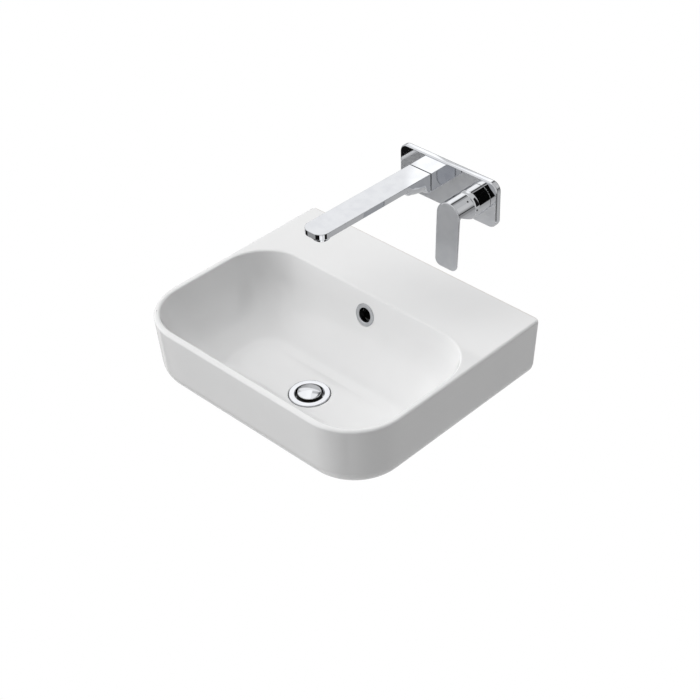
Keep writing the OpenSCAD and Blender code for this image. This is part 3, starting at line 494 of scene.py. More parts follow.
basin = {"width": 500, "depth": 416, "height": 118, "rim": 60, "rimWidth": 10, "deckDepth": 126,
         "deckThickness": 13, "frontRadius": 95, "backRadius": 5.5, "edgeRadius": 4, "draft": 4,
         "footRadius": 35, "cornerLoss": 0.9, "backThickness": 14, "sideThickness": 26, "hollowRound": 6,
         "boltSpan": 280, "boltHole": 9, "cornerSteps": 20}
bowl = {"depth": 122, "radius": 81, "lip": 3.5, "lipShare": 0.6, "lean": 12, "straight": 38, "slope": 10,
        "fall": 2.4, "sideFlat": 0.6, "shell": 11, "easedRings": 16, "easings": 60}
overflow = {"drop": 38, "hole": 14.6, "ring": 19.2, "thickness": 2.2, "seat": 0.8, "wall": 1.1, "tube": 8,
            "ductWidth": 28, "ductHeight": 12, "ductHead": 4, "ductBend": 55, "cover": 9, "ductWall": 7,
            "intoWaste": 6}
waste = {"y": 267, "hole": 26.2, "flange": 33.75, "flangeThickness": 3, "flangeRise": 1.5, "mouth": 24.2,
         "shelfDrop": 12.5, "shelf": 18.5, "shelfThickness": 1.5, "socket": 8.5, "tail": 23.9,
         "seatGap": 0.6, "seatDepth": 1.5, "seatRound": 0.6, "boss": 44, "bossHeight": 44, "bossRound": 1.5,
         "bossFoot": 3, "bossBlend": 16}
floorZ = basin["rim"] - bowl["depth"]
seatRadius = waste["flange"] + waste["seatGap"]
seatDrop = waste["flangeThickness"] - waste["flangeRise"] + waste["seatDepth"]

sweep = 90 - bowl["slope"]
curveRadius = (bowl["depth"] - bowl["fall"] - bowl["straight"]) / (sinD(sweep) - sinD(bowl["lean"]))
lipInset = -bowl["lipShare"] * bowl["lip"]
straightInset = (lipInset + bowl["lip"] * cosD(bowl["lean"])
                 + (bowl["straight"] - bowl["lip"] * (1 - sinD(bowl["lean"]))) * tanD(bowl["lean"]))
curveInset = straightInset + curveRadius * cosD(bowl["lean"])
curveDrop = bowl["straight"] - curveRadius * sinD(bowl["lean"])
floorInset = curveInset - curveRadius * cosD(sweep)
bowlHalf = (basin["depth"] - basin["rimWidth"] - basin["deckDepth"]) / 2


def plan(halfWidth, front, back, frontRadius, backRadius):
    n = basin["cornerSteps"]
    return (arc(halfWidth - frontRadius, front + frontRadius, frontRadius, -90, 0, n)
            + between((halfWidth, front + frontRadius), (halfWidth, back - backRadius), 8)
            + arc(halfWidth - backRadius, back - backRadius, backRadius, 0, 90, n)
            + between((halfWidth - backRadius, back), (-halfWidth + backRadius, back), 14)
            + arc(-halfWidth + backRadius, back - backRadius, backRadius, 90, 180, n)
            + between((-halfWidth, back - backRadius), (-halfWidth, front + frontRadius), 8)
            + arc(-halfWidth + frontRadius, front + frontRadius, frontRadius, 180, 270, n)
            + between((-halfWidth + frontRadius, front), (halfWidth - frontRadius, front), 10))


def outerPlan(inset):
    return plan(basin["width"] / 2 - inset, inset - basin["depth"], 0,
                basin["frontRadius"] - inset * basin["cornerLoss"], basin["backRadius"])


def bowlPlan(inset):
    # the corners open up until the floor's sides are nearly half circles
    floorRadius = bowlHalf - floorInset - bowl["sideFlat"]
    radius = bowl["radius"] + (floorRadius - bowl["radius"]) * max(inset, 0) / floorInset
    return plan(basin["width"] / 2 - basin["rimWidth"] - inset, basin["rimWidth"] - basin["depth"] + inset,
                -basin["deckDepth"] - inset, radius, radius)


def toCircle(outline, radius, share):
    # moves an outline by a share of the way to a circle about the waste
    result = []
    for x, y in outline:
        reach = math.hypot(x, y + waste["y"])
        ringX, ringY = x * radius / reach, -waste["y"] + (y + waste["y"]) * radius / reach
        result.append((x + (ringX - x) * share, y + (ringY - y) * share))
    return result


def circleAt(radius, z):
    return at(toCircle(outerPlan(0), radius, 1), z)


# the bowl's section as (inset, drop), at a distance off behind its glazed face
def curvePoint(off, angle):
    return (curveInset - (curveRadius + off) * cosD(angle), curveDrop + (curveRadius + off) * sinD(angle))


def wallInset(off, drop):
    return straightInset - (bowl["straight"] - drop) * tanD(bowl["lean"]) - off / cosD(bowl["lean"])


def behind(point):
    # a point of the section as Y and Z, at the bowl's back
    return (-(basin["deckDepth"] + point[0]), basin["rim"] - point[1])


def basinRings():
    rim, edge, foot = basin["rim"], basin["edgeRadius"], basin["footRadius"]
    underZ = rim - bowl["depth"] - bowl["shell"]
    bossZ = floorZ - waste["bossHeight"]
    footCentre = basin["height"] - foot
    footStart = footCentre + foot * sinD(basin["draft"])
    footInset = (footStart - edge) * tanD(basin["draft"]) + foot * cosD(basin["draft"])
    # seat of the waste, then up the bowl
    rings = [circleAt(seatRadius * share, floorZ - seatDrop) for share in (0.55, 0.8, 1.0)]
    eased = waste["seatRound"]
    rings += [circleAt(seatRadius, floorZ - eased - 1), circleAt(seatRadius, floorZ - eased)]
    rings += [circleAt(r, floorZ + z) for r, z in arc(seatRadius + eased, -eased, eased, 150, 90, 2)]
    floorPlan = bowlPlan(floorInset)
    section = [at(toCircle(floorPlan, seatRadius + 2 * eased, t), floorZ + bowl["fall"] * (1 - t) ** 2)
               for t in steps(1.0, 0.0, 12)[:-1]]
    for a in steps(sweep, bowl["lean"], 26):
        inset, drop = curvePoint(0, a)
        section.append(at(bowlPlan(inset), rim - drop))
    for easing in range(bowl["easings"]):  # eases the floor into the curved wall
        heights = [[p[2] for p in ring] for ring in section]
        for k in range(1, bowl["easedRings"]):
            section[k] = [(p[0], p[1], p[2] + 0.5 * ((heights[k - 1][j] + heights[k + 1][j]) / 2 - p[2]))
                          for j, p in enumerate(section[k])]
    rings += section
    lipEnd = bowl["lip"] * (1 - sinD(bowl["lean"]))
    for drop in steps(bowl["straight"], lipEnd, 7)[1:-1]:
        rings.append(at(bowlPlan(wallInset(0, drop)), rim - drop))
    for a in steps(90 - bowl["lean"], 0, 8):
        rings.append(at(bowlPlan(lipInset + bowl["lip"] * sinD(a)), rim - bowl["lip"] * (1 - cosD(a))))
    rings += [at(bowlPlan(lipInset - 0.5), rim), at(outerPlan(edge + 0.5), rim)]
    # outside wall, foot and underside
    for a in steps(0, 90, 8):
        rings.append(at(outerPlan(edge * (1 - sinD(a))), rim - edge * (1 - cosD(a))))
    for drop in steps(edge, footStart, 7)[1:-1]:
        rings.append(at(outerPlan((drop - edge) * tanD(basin["draft"])), rim - drop))
    for a in steps(basin["draft"], 90, 16):
        rings.append(at(outerPlan(footInset - foot * cosD(a)), rim - footCentre - foot * sinD(a)))
    for t in steps(0, 1, 10)[1:]:
        z = rim - basin["height"] - (bowl["depth"] + bowl["shell"] - basin["height"]) * sinD(90 * t)
        rings.append(at(toCircle(outerPlan(footInset), waste["boss"] + waste["bossBlend"], t), z))
    boss, fillet, rounded = waste["boss"], waste["bossFoot"], waste["bossRound"]
    rings += [circleAt(r, z) for r, z in arc(boss + fillet, underZ - fillet, fillet, 90, 180, 4)]
    rings += [circleAt(boss, bossZ + rounded)]
    rings += [circleAt(r, z) for r, z in arc(boss - rounded, bossZ + rounded, rounded, 0, -90, 4)]
    rings += [circleAt(boss * 0.8, bossZ)]
    return rings


def ductOutline(near, far, top, foot, reach):
    # Y and Z outline that follows the bowl's back from near to far behind its face, then runs to the waste
    bends = steps(bowl["lean"], overflow["ductBend"], 10)
    return ([behind((wallInset(near, top), top))] + [behind(curvePoint(near, a)) for a in bends]
            + [behind((reach, foot - (far - near))), behind((reach, foot))]
            + [behind(curvePoint(far, a)) for a in reversed(bends)] + [behind((wallInset(far, top), top))])


overflowY = -(basin["deckDepth"] + wallInset(0, overflow["drop"]))
atOverflow = (shifted(0, overflowY, basin["rim"] - overflow["drop"])
              @ Matrix.Rotation(math.radians(90 - bowl["lean"]), 4, "X"))
atWaste = shifted(0, -waste["y"], floorZ)


def buildBasin():
    # the hollow behind the bowl runs on past the underside, so that it is open there
    rounded, endAngle, past = basin["hollowRound"], sweep - 8, 60
    corner = behind((wallInset(bowl["shell"], basin["deckThickness"]), basin["deckThickness"]))
    last = curvePoint(bowl["shell"], endAngle)
    hollow = [(-basin["backThickness"], basin["rim"] - basin["deckThickness"], rounded), corner + (rounded,)]
    hollow += [behind(curvePoint(bowl["shell"], a)) + (0,) for a in steps(bowl["lean"] + 6, endAngle, 10)]
    hollow += [behind((last[0] + 4, last[1] + past)) + (0,),
               (-basin["backThickness"], basin["rim"] - basin["height"] - past, 0)]
    halfHollow = basin["width"] / 2 - basin["sideThickness"]
    # the housing laps into the shell and the deck, to join them
    shellLap, deckLap = 4, 3
    cover, height, wall = overflow["cover"], overflow["ductHeight"], overflow["ductWall"]
    halfDuct = overflow["ductWidth"] / 2
    reach = waste["y"] - basin["deckDepth"] - waste["hole"] + overflow["intoWaste"]
    foot = bowl["depth"] + waste["bossHeight"] - wall
    housing = ductOutline(cover - shellLap, cover + height + wall, basin["deckThickness"] - deckLap,
                          foot + wall - 0.05, reach)
    duct = ductOutline(cover, cover + height, overflow["drop"] - overflow["hole"] - overflow["ductHead"],
                       foot, reach)
    cuts = [prism("duct", duct, acrossX, -halfDuct, halfDuct),
            drum("overflowHole", overflow["hole"], -cover - 4, 6, atOverflow),
            drum("overflowSeat", overflow["ring"] + 0.3, -overflow["seat"], 5, atOverflow),
            drum("wasteHole", waste["hole"], -waste["bossHeight"] - 1, -1, atWaste)]
    cuts += [drum("boltHole", basin["boltHole"], -1, basin["backThickness"] + 2,
                  fromWall(side * basin["boltSpan"] / 2, 0), 64) for side in (-1, 1)]
    tools = cutsOf(prism("hollow", filleted(hollow), acrossX, -halfHollow, halfHollow))
    tools += [("UNION", prism("housing", housing, acrossX, -halfDuct - wall, halfDuct + wall))]
    return carved(lofted("basinSkin", basinRings()), tools + cutsOf(*cuts))


addPiece("basinBody", buildBasin(), "fixed_set", glaze, ["basin_body", "basin_back"],
         keepNormals=True)
print("basin made")


# overflow ring and waste

def buildOverflowRing():
    inner = overflow["hole"] - 0.1 - 2 * overflow["wall"]
    tube, top, low = inner + overflow["wall"], overflow["thickness"], -overflow["seat"]
    end = -overflow["tube"]
    outline = [(inner, end, 0.3), (tube, end, 0.3), (tube, 0, 0), (overflow["ring"], 0, 0.2),
               (overflow["ring"], top, 0.9), (inner, top, 1.4)]
    return turned("overflowRing", [(r, z + low) for r, z in filleted(outline, 6)], atOverflow)


def buildFlange():
    top, low = waste["flangeRise"], waste["flangeRise"] - waste["flangeThickness"]
    shelf = top - waste["shelfDrop"]
    throat, tail = waste["hole"] - 0.6, waste["tail"] + 0.05
    under, end = shelf - waste["shelfThickness"], shelf - waste["socket"]
    outline = [(waste["shelf"], under, 0.3), (tail, under, 0), (tail, end, 0), (throat, end, 0),
               (throat, low, 0.4),
               (waste["flange"], low, 0.2), (waste["flange"], top, 1.4), (waste["mouth"], top, 0.9),
               (waste["mouth"], shelf + 1.2, 1.0), (waste["shelf"], shelf, 0.4)]
    return turned("wasteFlange", filleted(outline, 6), atWaste)


plug = {"radius": 19.5, "thickness": 2.6, "crown": 1.8, "neckTop": 2.2, "neck": 12, "edge": 1.2, "rings": 14}


def buildDome():
    r, low, edge = plug["radius"], plug["neckTop"], plug["edge"]
    top = low + plug["thickness"]
    outline = [(0, low - 1), (plug["neck"], low - 1), (plug["neck"], low), (r - 1.6, low)]
    outline += arc(r - edge, top - edge, edge, -40, 62, 8)
    for k in range(1, plug["rings"] + 1):
        share = 1 - k / plug["rings"]
        outline.append(((r - 0.9) * share, top - 0.1 + plug["crown"] * (1 - share ** 2)))
    return turned("plugDome", outline, atWaste)


addPiece("overflowRing", buildOverflowRing(), "fixed_set", chrome, ["overflow_ring"])
addPiece("wasteFlange", buildFlange(), "fixed_set", chrome, ["waste_flange"])
addPiece("plugDome", buildDome(), "plug", chrome, ["plug_dome"])
print("waste made")


# tap plate and spout

tapPlate = {"x": 65, "z": 234.5, "width": 198, "height": 80, "radius": 15, "back": 1, "front": 10,
            "bevelDepth": 2, "bevelWidth": 1.6, "wall": 2.5, "neckGap": 0.25, "nippleGap": 0.3}
spout = {"x": 42, "z": 256, "top": 272, "width": 43.5, "height": 32, "reach": 284, "drift": 3, "seam": 46,
         "gap": 0.5, "thin": 10.2, "flat": 8, "rise": 44, "belly": 17, "tip": 17, "edge": 0.8, "groove": 0.6,
         "nipple": 10.4, "socket": 2, "socketDepth": 12, "screwHole": 2.05, "screwPlace": 6,
         "aeratorBack": 22, "aerator": 13, "aeratorWall": 2.6, "aeratorDrop": 10}
mixer = {"x": 140, "z": 250, "radius": 22.4, "neck": 20.3, "collarEnd": 22, "sleeveEnd": 56, "nose": 10,
         "noseRadius": 17, "noseHole": 12.5, "noseWall": 1.6, "groove": 0.8, "hubStart": 56.8, "hubEnd": 94.8}
atSpout = fromWall(spout["x"], spout["z"])
atMixer = fromWall(mixer["x"], mixer["z"])
armStart = spout["seam"] + spout["gap"]


def roundBox(width, height, radius, z, count=10):
    u, v = width / 2 - radius, height / 2 - radius
    return at(arc(u, -v, radius, -90, 0, count) + arc(u, v, radius, 0, 90, count)
              + arc(-u, v, radius, 90, 180, count) + arc(-u, -v, radius, 180, 270, count), z)


def buildTapPlate():
    w, h, r = tapPlate["width"], tapPlate["height"], tapPlate["radius"]
    depth, inset, front = tapPlate["bevelDepth"], tapPlate["bevelWidth"], tapPlate["front"]
    # side of the plate as (inset, distance from the wall)
    side = filleted([(30, tapPlate["back"] + 3, 0), (0, tapPlate["back"], 0.3), (0, front - depth, 0.5),
                     (inset, front, 0.5), (30, front, 0)], 3)[1:-1]
    wall = tapPlate["wall"]

    def ring(i, s):
        return roundBox(w - 2 * i, h - 2 * i, r - i, s)

    rings = [ring(wall, front - wall), ring(wall, tapPlate["back"])]
    rings += [ring(i, max(s, tapPlate["back"])) for i, s in side] + [ring(inset + 1.2, front)]
    skin = lofted("tapPlate", rings, "caps", fromWall(tapPlate["x"], tapPlate["z"]))
    neckHole = drum("neckHole", mixer["neck"] + tapPlate["neckGap"], 0, 20, atMixer)
    nippleHole = drum("nippleHole", spout["nipple"] + tapPlate["nippleGap"], 0, 20, atSpout)
    return carved(skin, cutsOf(neckHole, nippleHole), tapSharpAngle)


# the arm at the distance s from the wall
def armDepth(s):
    u = max(0, min(1, (s - armStart - spout["flat"]) / spout["rise"]))
    return spout["thin"] + (spout["height"] - spout["thin"]) * math.sqrt(1 - u * u)


def armRound(s):
    # radius of the lower edges: small at the seam, full under the curve and small again past it
    curve, ease, least = armStart + spout["flat"], 9, 1.2
    v = max(0, min(1, (s - curve + 3) / ease))
    return min(1 + (spout["belly"] - 1) * v * v * (3 - 2 * v), armDepth(s) - 2.4,
               least + (spout["belly"] - 1) * max(0, curve + spout["rise"] + 3 - s) / (2 * ease))


def armHalf(s):
    q = max(0, s - spout["reach"] + spout["tip"])
    return spout["width"] / 2 - spout["tip"] + math.sqrt(max(0.04, spout["tip"] ** 2 - q * q))


def armX(s):
    return spout["x"] - spout["drift"] * max(0, s - armStart) / (spout["reach"] - armStart)


def armRing(s, shrink=0.0):
    h, d, r, e = armHalf(s) - shrink, armDepth(s) - shrink, max(0.6, armRound(s)), spout["edge"]
    # the edge's round as this cut shows it, which is wider at the tip's corners
    inTip = min(1, max(0, s - spout["reach"] + spout["tip"]) / spout["tip"])
    wide = e / max(0.3, math.sqrt(1 - inTip * inTip))
    top = [(h - wide + wide * cosD(a), e * sinD(a) - e - shrink) for a in steps(90, 0, 4)]
    outline = (top + arc(h - r, r - d, r, 0, -90, 12) + arc(r - h, r - d, r, -90, -180, 12)
               + [(-x, z) for x, z in reversed(top)])
    return [(armX(s) + x, -s, spout["top"] + z) for x, z in outline]


def outletPlace():
    s = spout["reach"] - spout["aeratorBack"]
    return shifted(armX(s), -s, spout["top"] - spout["thin"])


def spoutCircle(outline, radius, s):
    # the outline's points drawn in to a circle about the nipple
    ring = []
    for x, y, z in outline:
        u, v = x - spout["x"], z - spout["z"]
        reach = math.hypot(u, v)
        ring.append((spout["x"] + u * radius / reach, -s, spout["z"] + v * radius / reach))
    return ring


def buildArm():
    end, tip, edge, groove = spout["reach"], spout["tip"], spout["edge"], spout["groove"]
    first, inner = armRing(armStart), spout["nipple"] + spout["socket"]
    rings = [spoutCircle(first, inner, spout["seam"] + 1 - spout["socketDepth"]),
             spoutCircle(first, inner, armStart + groove)]
    rings += [armRing(armStart + groove + s, shrink) for s, shrink in ((0, 0.5), (0.15, 0.15), (0.5, 0))]
    rings += [armRing(armStart + s) for s in (2, 3.5, 5, 6, 7, 8, 9, 10, 11, 12, 13.5, 15)]
    flatEnd = armStart + spout["flat"]
    curveEnd = flatEnd + spout["rise"]
    rings += [armRing(flatEnd + spout["rise"] * sinD(a)) for a in (12, 16, *range(20, 95, 5))]
    rings += [armRing(curveEnd + s) for s in (1.5, 3, 8, 40, 80, 120, 150)]
    rings += [armRing(end - tip + tip * sinD(a)) for a in steps(0, 72, 18)]
    rings += [armRing(end - edge * (1 - sinD(a)), edge * (1 - cosD(a))) for a in steps(0, 90, 5)[1:]]
    screw = shifted(spout["x"], -(armStart + spout["screwPlace"]), spout["z"] - spout["height"] / 2)
    outlet = drum("outlet", spout["aerator"] - 1, -2, spout["thin"] / 2, outletPlace())
    screwHole = drum("screwHole", spout["screwHole"], -2, 6, screw, 48)
    return carved(lofted("spoutArm", rings), cutsOf(outlet, screwHole), tapSharpAngle)


def buildRoot():
    back, front = tapPlate["front"], spout["seam"] - spout["groove"]
    nipple, socket = spout["nipple"] + 0.05, spout["nipple"] + spout["socket"] + 0.05

    def box(shrink, s):
        return roundBox(spout["width"] - 2 * shrink, spout["height"] - 2 * shrink, spout["edge"], s, 6)

    def hole(radius, s):
        ring = []
        for x, y, z in box(0, s):
            reach = math.hypot(x, y)
            ring.append((x * radius / reach, y * radius / reach, s))
        return ring

    rings = [box(0, back), box(0, front - 0.5), box(0.15, front - 0.15), box(0.5, front)]
    rings += [hole(socket, front), hole(socket, front - spout["socketDepth"]),
              hole(nipple, front - spout["socketDepth"]), hole(nipple, back)]
    return lofted("spoutRoot", rings, "loop", atSpout)


def buildAeratorRing():
    r, drop, top = spout["aerator"], spout["aeratorDrop"], spout["thin"] / 2 - 1
    inner, thread = r - spout["aeratorWall"], r - 1.05
    outline = [(inner, top, 0), (inner, -drop, 0.5), (r, -drop, 0.7), (r, -0.02, 0.2), (thread, -0.02, 0),
               (thread, top, 0)]
    return turned("aeratorRing", filleted(outline), outletPlace())


addPiece("tapPlate", buildTapPlate(), "fixed_set", chrome, ["tap_plate"], keepNormals=True)
addPiece("spoutArm", buildArm(), "fixed_set", chrome, ["spout_arm"], keepNormals=True)
addPiece("spoutRoot", buildRoot(), "fixed_set", chrome, ["spout_root"])
addPiece("aeratorRing", buildAeratorRing(), "fixed_set", chrome, ["aerator_ring"])
print("spout made")


# mixer and lever

def buildCollar():
    front = mixer["collarEnd"] - mixer["groove"]
    neck, radius, back = mixer["neck"], mixer["radius"], tapPlate["front"]
    outline = [(neck, back, 0), (radius, back, 0), (radius, front, 0.3), (neck, front, 0)]
    return turned("mixerCollar", filleted(outline, 3), atMixer)


def buildSleeve():
    r, end, nose = mixer["radius"], mixer["sleeveEnd"], mixer["nose"]
    front = [(mixer["noseRadius"] + (r - mixer["noseRadius"]) * cosD(a), end - nose + nose * sinD(a))
             for a in steps(0, 90, 16)]
    start = mixer["collarEnd"] + mixer["groove"] / 2
    back = filleted([(mixer["neck"], end - 16, 0), (mixer["neck"], start, 0), (r, start, 0.3),
                     (r, end - nose - 1, 0)], 3)
    noseBack = end - mixer["noseWall"]
    inner = [(mixer["noseHole"], end), (mixer["noseHole"], noseBack), (mixer["noseRadius"] - 1, noseBack),
             (mixer["neck"] - 1.4, end - nose + 1.2), (mixer["neck"], end - nose - 1.5)]
    return turned("mixerSleeve", back[1:] + front + inner, atMixer)


def buildSeamShadeRing():
    # dark ring deep in the seam between collar and sleeve, a dark piece that stands in for the seam's shade
    seam, groove, tucked = mixer["collarEnd"], mixer["groove"], 0.2
    low, high = seam - groove - tucked, seam + groove / 2 + tucked
    inner, outer = mixer["neck"] + 0.1, mixer["radius"] - 0.6
    return turned("seamRing", [(inner, low), (outer, low), (outer, high), (inner, high)], atMixer)


lever = {"thickness": 2.75, "length": 91.1, "endWidth": 43.6, "corner": 11.5, "lean": 2.7, "edge": 0.9,
         "foot": 15.2, "rise": 20.2, "fillet": 2, "hollow": 6.5, "hollowWide": 20.4, "hollowNarrow": 15.5,
         "hollowFloor": 3, "screwAngle": 53, "screwPlace": 8.5, "screwHole": 1.65}


def bladeOutline(inset):
    # round at the hub, straight sides, and an end with round corners
    r, corner = mixer["radius"] - inset, lever["corner"] - inset
    sideX, low = lever["endWidth"] / 2 - lever["corner"], lever["corner"] - lever["length"]
    turn = (math.degrees(math.atan2(low, sideX))
            + math.degrees(math.acos((mixer["radius"] - lever["corner"]) / math.hypot(sideX, low))))
    top = arc(0, 0, r, turn, 180 - turn, 50)
    left = arc(-sideX, low, corner, 180 - turn, 270, 14)
    right = arc(sideX, low, corner, -90, turn, 14)
    return (top + between(top[-1], left[0], 7) + left + between(left[-1], right[0], 3) + right
            + between(right[-1], top[0], 7))


def cutRound(radius, chord, place):
    # round above, flat below the chord; place gives each point's distance from the wall
    start = math.degrees(math.asin(chord / radius))
    outline = arc(0, 0, radius, start, 180 - start, 60)
    outline += between(outline[-1], outline[0], 9)
    return [(x, y, place(y)) for x, y in outline]


def buildLever():
    r, start, thick, foot = mixer["radius"], mixer["hubStart"], lever["thickness"], lever["foot"]
    lean, edge = tanD(lever["lean"]), lever["edge"]
    side = [(edge + 5, -thick), (edge, -thick)] + arc(edge, edge - thick, edge, -90, -180, 4)
    side += arc(edge, -edge, edge, 180, 90, 6) + [(edge + 1, 0), (edge + 6, 0)]

    def bladeRing(inset, depth):
        raised = mixer["hubEnd"] + depth / cosD(lever["lean"])
        return [(x, y, raised - y * lean) for x, y in bladeOutline(inset)]

    blade = lofted("blade", [bladeRing(inset, depth) for inset, depth in side], "caps", atMixer)
    backS = mixer["hubEnd"] - thick
    slope = lever["rise"] / (backS - start)
    angle = math.atan(slope)
    # fillet between the rising underside and the blade
    radius = lever["fillet"]
    reach = radius / math.tan((math.pi / 2 - angle) / 2)
    fromS, centreS, centreY = backS - reach * math.cos(angle), backS - radius, lever["rise"] - foot - reach

    def chordAt(s):
        if s <= fromS:
            return slope * (s - start) - foot
        return centreY + math.sqrt(max(0.0, radius ** 2 - (min(s, backS) - centreS) ** 2))

    def hubRing(s):
        chord = chordAt(s)
        share = (s - start) / (backS - chord * lean - start)
        return cutRound(r, chord, lambda y: start + (backS - y * lean - start) * share)

    floorS = start + lever["hollow"]
    floorChord = lever["hollowFloor"] - foot + slope * lever["hollow"]
    rings = [cutRound(lever["hollowNarrow"] * 0.6, floorChord * 0.6, lambda y: floorS),
             cutRound(lever["hollowNarrow"], floorChord, lambda y: floorS),
             cutRound(lever["hollowWide"], lever["hollowFloor"] - foot, lambda y: start),
             cutRound(r - 0.3, -foot + 0.1, lambda y: start),
             cutRound(r, -foot, lambda y: start + 0.3)]
    rings += [hubRing(s) for s in steps(start + 1.5, fromS, 14)]
    rings += [hubRing(centreS + radius * sinD(a)) for a in steps(-25, 90, 10)]
    rings += [hubRing(backS + 0.6)]
    screw = (atMixer @ shifted(0, 0, start + lever["screwPlace"])
             @ Matrix.Rotation(math.radians(lever["screwAngle"]), 4, "Z")
             @ Matrix.Rotation(math.radians(90), 4, "Y"))
    screwHole = drum("screwHole", lever["screwHole"], 16, 40, screw, 40)
    return carved(lofted("hub", rings, "caps", atMixer), cutsOf(screwHole), tapSharpAngle), blade


addPiece("mixerCollar", buildCollar(), "fixed_set", chrome, ["mixer_collar"])
addPiece("mixerSleeve", buildSleeve(), "fixed_set", chrome, ["mixer_sleeve"])
# dark ring that stands in for the shade in the seam
addPiece("seamRing", buildSeamShadeRing(), "fixed_set", rubber, [])
hubMesh, bladeMesh = buildLever()
addPiece("leverHub", hubMesh, "lever", chrome, ["lever_handle"], keepNormals=True)
addPiece("leverBlade", bladeMesh, "lever", chrome, ["lever_handle"], tapSharpAngle)
print("mixer made")


# pieces that stay as the frame gives them

keptNodes = [
    (rubber, ["waste_top_seal", "waste_cone_seal", "plug_seal", "plate_gasket", "spout_seal"]),
    (tailThread, ["waste_tail"]), (satinChrome, ["waste_nut"]), (boltThread, ["wall_bolts"]),
    (brass, ["mixer_body", "spout_nut", "spout_nipple", "cartridge_nut", "plug_stem"]),
    (steel, ["bolt_washers", "bolt_nuts", "spindle", "tilt_pin"]),
    (darkSteel, ["spout_grub_screw", "lever_screw"]),
    (whitePlastic, ["click_cartridge", "cartridge_body", "aerator_insert"]),
    (greyPlastic, ["overflow_sleeve", "bolt_sleeves", "cartridge_carrier"]),
    (discCeramic, ["fixed_disc", "moving_disc"])]
keptSharpAngle = 32

for finish, nodeNames in keptNodes:
    for nodeName in nodeNames:
        piece = bpy.data.objects[nodeName]
        smoothed(piece.data, keptSharpAngle)
        weighted(piece)
        piece.data.materials.clear()
        piece.data.materials.append(finish)
print("finishes given")


# camera, floor and light

view = {"place": (1.46498, -1.63458, 1.55443), "right": (0.72156891, 0.69175452, -0.02853046),
        "up": (-0.4041276, 0.45428932, 0.79391567), "forward": (-0.56215584, 0.56133492, -0.60735815),
        "lens": 82.554, "sensor": 36.0, "near": 0.05, "far": 60.0}


def addCamera():
    data = bpy.data.cameras.new("camera")
    camera = linked("camera", data)
    right, up, forward = (Vector(view[k]).normalized() for k in ("right", "up", "forward"))
    turn = Matrix((right, up, -forward)).transposed().to_4x4()
    camera.matrix_world = Matrix.Translation(Vector(view["place"])) @ turn
    data.lens = view["lens"]
    data.sensor_width = view["sensor"]
    data.clip_start = view["near"]
    data.clip_end = view["far"]
    bpy.context.scene.camera = camera


# plain floor below the basin, in metres: white to the camera, and pale grey for the light that it sends up
plainFloor = {"reach": 9.0, "z": -0.85, "grey": 0.66}


def addFloor():
    mesh = bpy.data.meshes.new("floor")
    reach, z = plainFloor["reach"], plainFloor["z"]
    corners = [(-reach, -reach, z), (reach, -reach, z), (reach, reach, z), (-reach, reach, z)]
    mesh.from_pydata(corners, [], [(0, 1, 2, 3)])
    floor = linked("floor", mesh)
    material, g = newMaterial("floor")
    seen = g.add("ShaderNodeLightPath", out="Is Camera Ray")
    pale = g.add("ShaderNodeBsdfDiffuse", {}, {"Color": rgb(plainFloor["grey"])})
    white = g.add("ShaderNodeEmission", {}, {"Color": rgb(1.0), "Strength": 1.0})
    both = g.add("ShaderNodeMixShader", {}, {0: seen, 1: pale, 2: white})
    g.add("ShaderNodeOutputMaterial", {}, {"Surface": both})
    mesh.materials.append(material)
    floor.visible_glossy = False


# soft lamps far off, each as azimuth and elevation in degrees and strength
softLamps = [(0, 90, 1.72), (-135, 8, 2.64), (135, 8, 2.20), (-135, 42, 2.00), (45, 42, 0.82)]
lampFocus = 8.0  # higher is a smaller lamp

# what polished surfaces see instead, later ones on top: azimuth from and to, height from and to, blur,
# all in degrees, and level
mirrorZones = [
    (-190, 190, -95, 95, 1, 0.80),
    (-190, 190, -95, -10, 3, 0.62),
    (-190, -60, -60, -27.5, 1, 0.01),
    (-145, -104, -38, -31.6, 0.5, 0.43),
    (-60, -11, -40, -32.5, 0.4, 1.5),
    (-60, -35, -32.2, -26, 0.4, 0.75),
    (-28.5, -24, -36, -28, 0.7, 0.20),
    (45.3, 50, -37, -34.6, 0.7, 1.13),
    (-11, 15.5, -40, -27, 1.5, 0.01),
    (-165, -98, -9, 64, 4, 1.15),
    (-12, 38, -6, 57.5, 1.5, 0.01),
    (36, 62, -26, 48, 1.5, 0.36),
    (36, 62, 14, 48, 9, 0.82),
    (36, 62, -30, -14, 5, 0.54),
    (30, 50, 1.5, 7, 1.5, 0.02),
    (60, 122, 40, 57, 2, 0.74),
    (95, 122, 40, 57, 3, 0.50),
    (108, 120, 39, 54, 1.2, 0.12),
    (120, 150, 27, 40, 1.5, 1.29),
    (124, 132.3, 23, 33, 0.3, 1.62),
    (127, 130.9, 28.5, 30.85, 0.15, 0.90),
    (132, 160, 37.5, 66, 1.2, 1.50),
    (120, 134, 47, 66, 1.2, 1.30),
    (131.5, 138.5, 11, 29, 1.0, 1.40),
    (138.5, 141, 2, 9, 0.6, 0.15)]


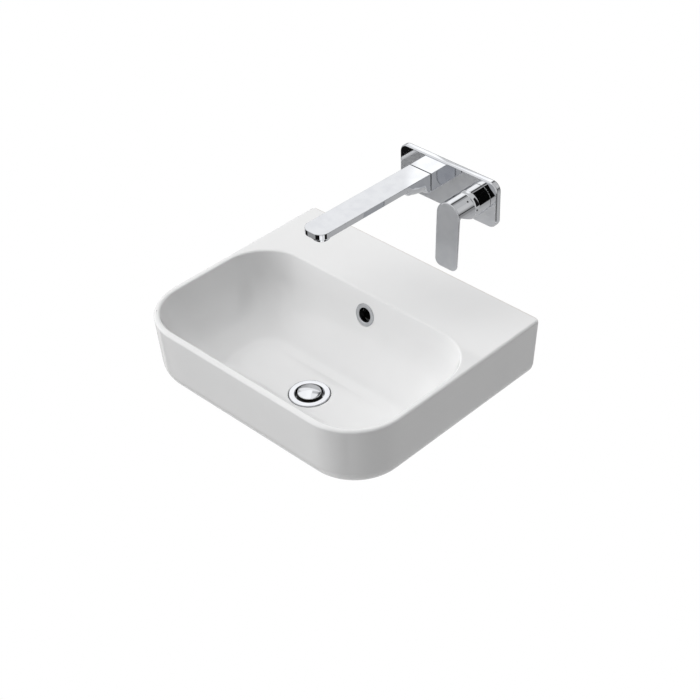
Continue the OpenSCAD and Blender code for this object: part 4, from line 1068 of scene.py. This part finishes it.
def addSky():
    world = bpy.data.worlds.new("studio")
    bpy.context.scene.world = world
    world.use_nodes = True
    g = Graph(world.node_tree)
    way = g.add("ShaderNodeTexCoord", out="Generated")
    x, y, z = g.split(way)
    soft = 0.0
    for azimuth, elevation, strength in softLamps:
        aim = (cosD(azimuth) * cosD(elevation), sinD(azimuth) * cosD(elevation), sinD(elevation))
        near = g.add("ShaderNodeVectorMath", {"operation": "DOT_PRODUCT"}, {0: way, 1: aim}, "Value")
        soft = g.maths("POWER", g.maths("MAXIMUM", near, 0.0), lampFocus) * strength + soft
    around = g.maths("ARCTAN2", y, x) * math.degrees(1)
    height = g.maths("ARCSINE", z) * math.degrees(1)
    mirrored = soft
    for left, right, low, high, blur, zoneLevel in mirrorZones:
        inside = (g.band(around, left - blur, left + blur, right - blur, right + blur)
                  * g.band(height, low - blur, low + blur, high - blur, high + blur))
        mirrored = mirrored + (zoneLevel - mirrored) * inside
    shiny = g.add("ShaderNodeLightPath", out="Is Glossy Ray")
    level = soft + (mirrored - soft) * shiny
    grey = g.add("ShaderNodeCombineColor", {}, {0: level, 1: level, 2: level})
    lit = g.add("ShaderNodeBackground", {}, {"Color": grey, "Strength": 1.0})
    white = g.add("ShaderNodeBackground", {}, {"Color": rgb(1.0), "Strength": 1.0})
    seen = g.add("ShaderNodeLightPath", out="Is Camera Ray")
    both = g.add("ShaderNodeMixShader", {}, {0: seen, 1: lit, 2: white})
    g.add("ShaderNodeOutputWorld", {}, {"Surface": both})


# dark card behind the wall plane, seen by polished surfaces alone: part of a ring about the point x and z
flag = {"x": 150, "z": 262, "inner": 27, "radius": 80, "from": -20, "to": 100, "behind": 5, "steps": 24,
        "grey": 0.004}


def addFlag():
    count = flag["steps"]
    outline = [point for radius in (flag["inner"], flag["radius"])
               for point in arc(flag["x"], flag["z"], radius, flag["from"], flag["to"], count)]
    mesh = bpy.data.meshes.new("flag")
    mesh.from_pydata([Vector((x, flag["behind"], z)) * mm for x, z in outline], [],
                     [(k, k + 1, count + 2 + k, count + 1 + k) for k in range(count)])
    card = linked("flag", mesh)
    material, g = newMaterial("flag")
    g.principled({"Base Color": rgb(flag["grey"]), "Roughness": 1.0, "Specular IOR Level": 0.0})
    mesh.materials.append(material)
    card.visible_camera = False
    card.visible_diffuse = False
    card.visible_shadow = False
    card.visible_transmission = False


addCamera()
addFloor()
addFlag()
addSky()
bpy.context.scene.view_settings.view_transform = "Standard"
print("studio set")
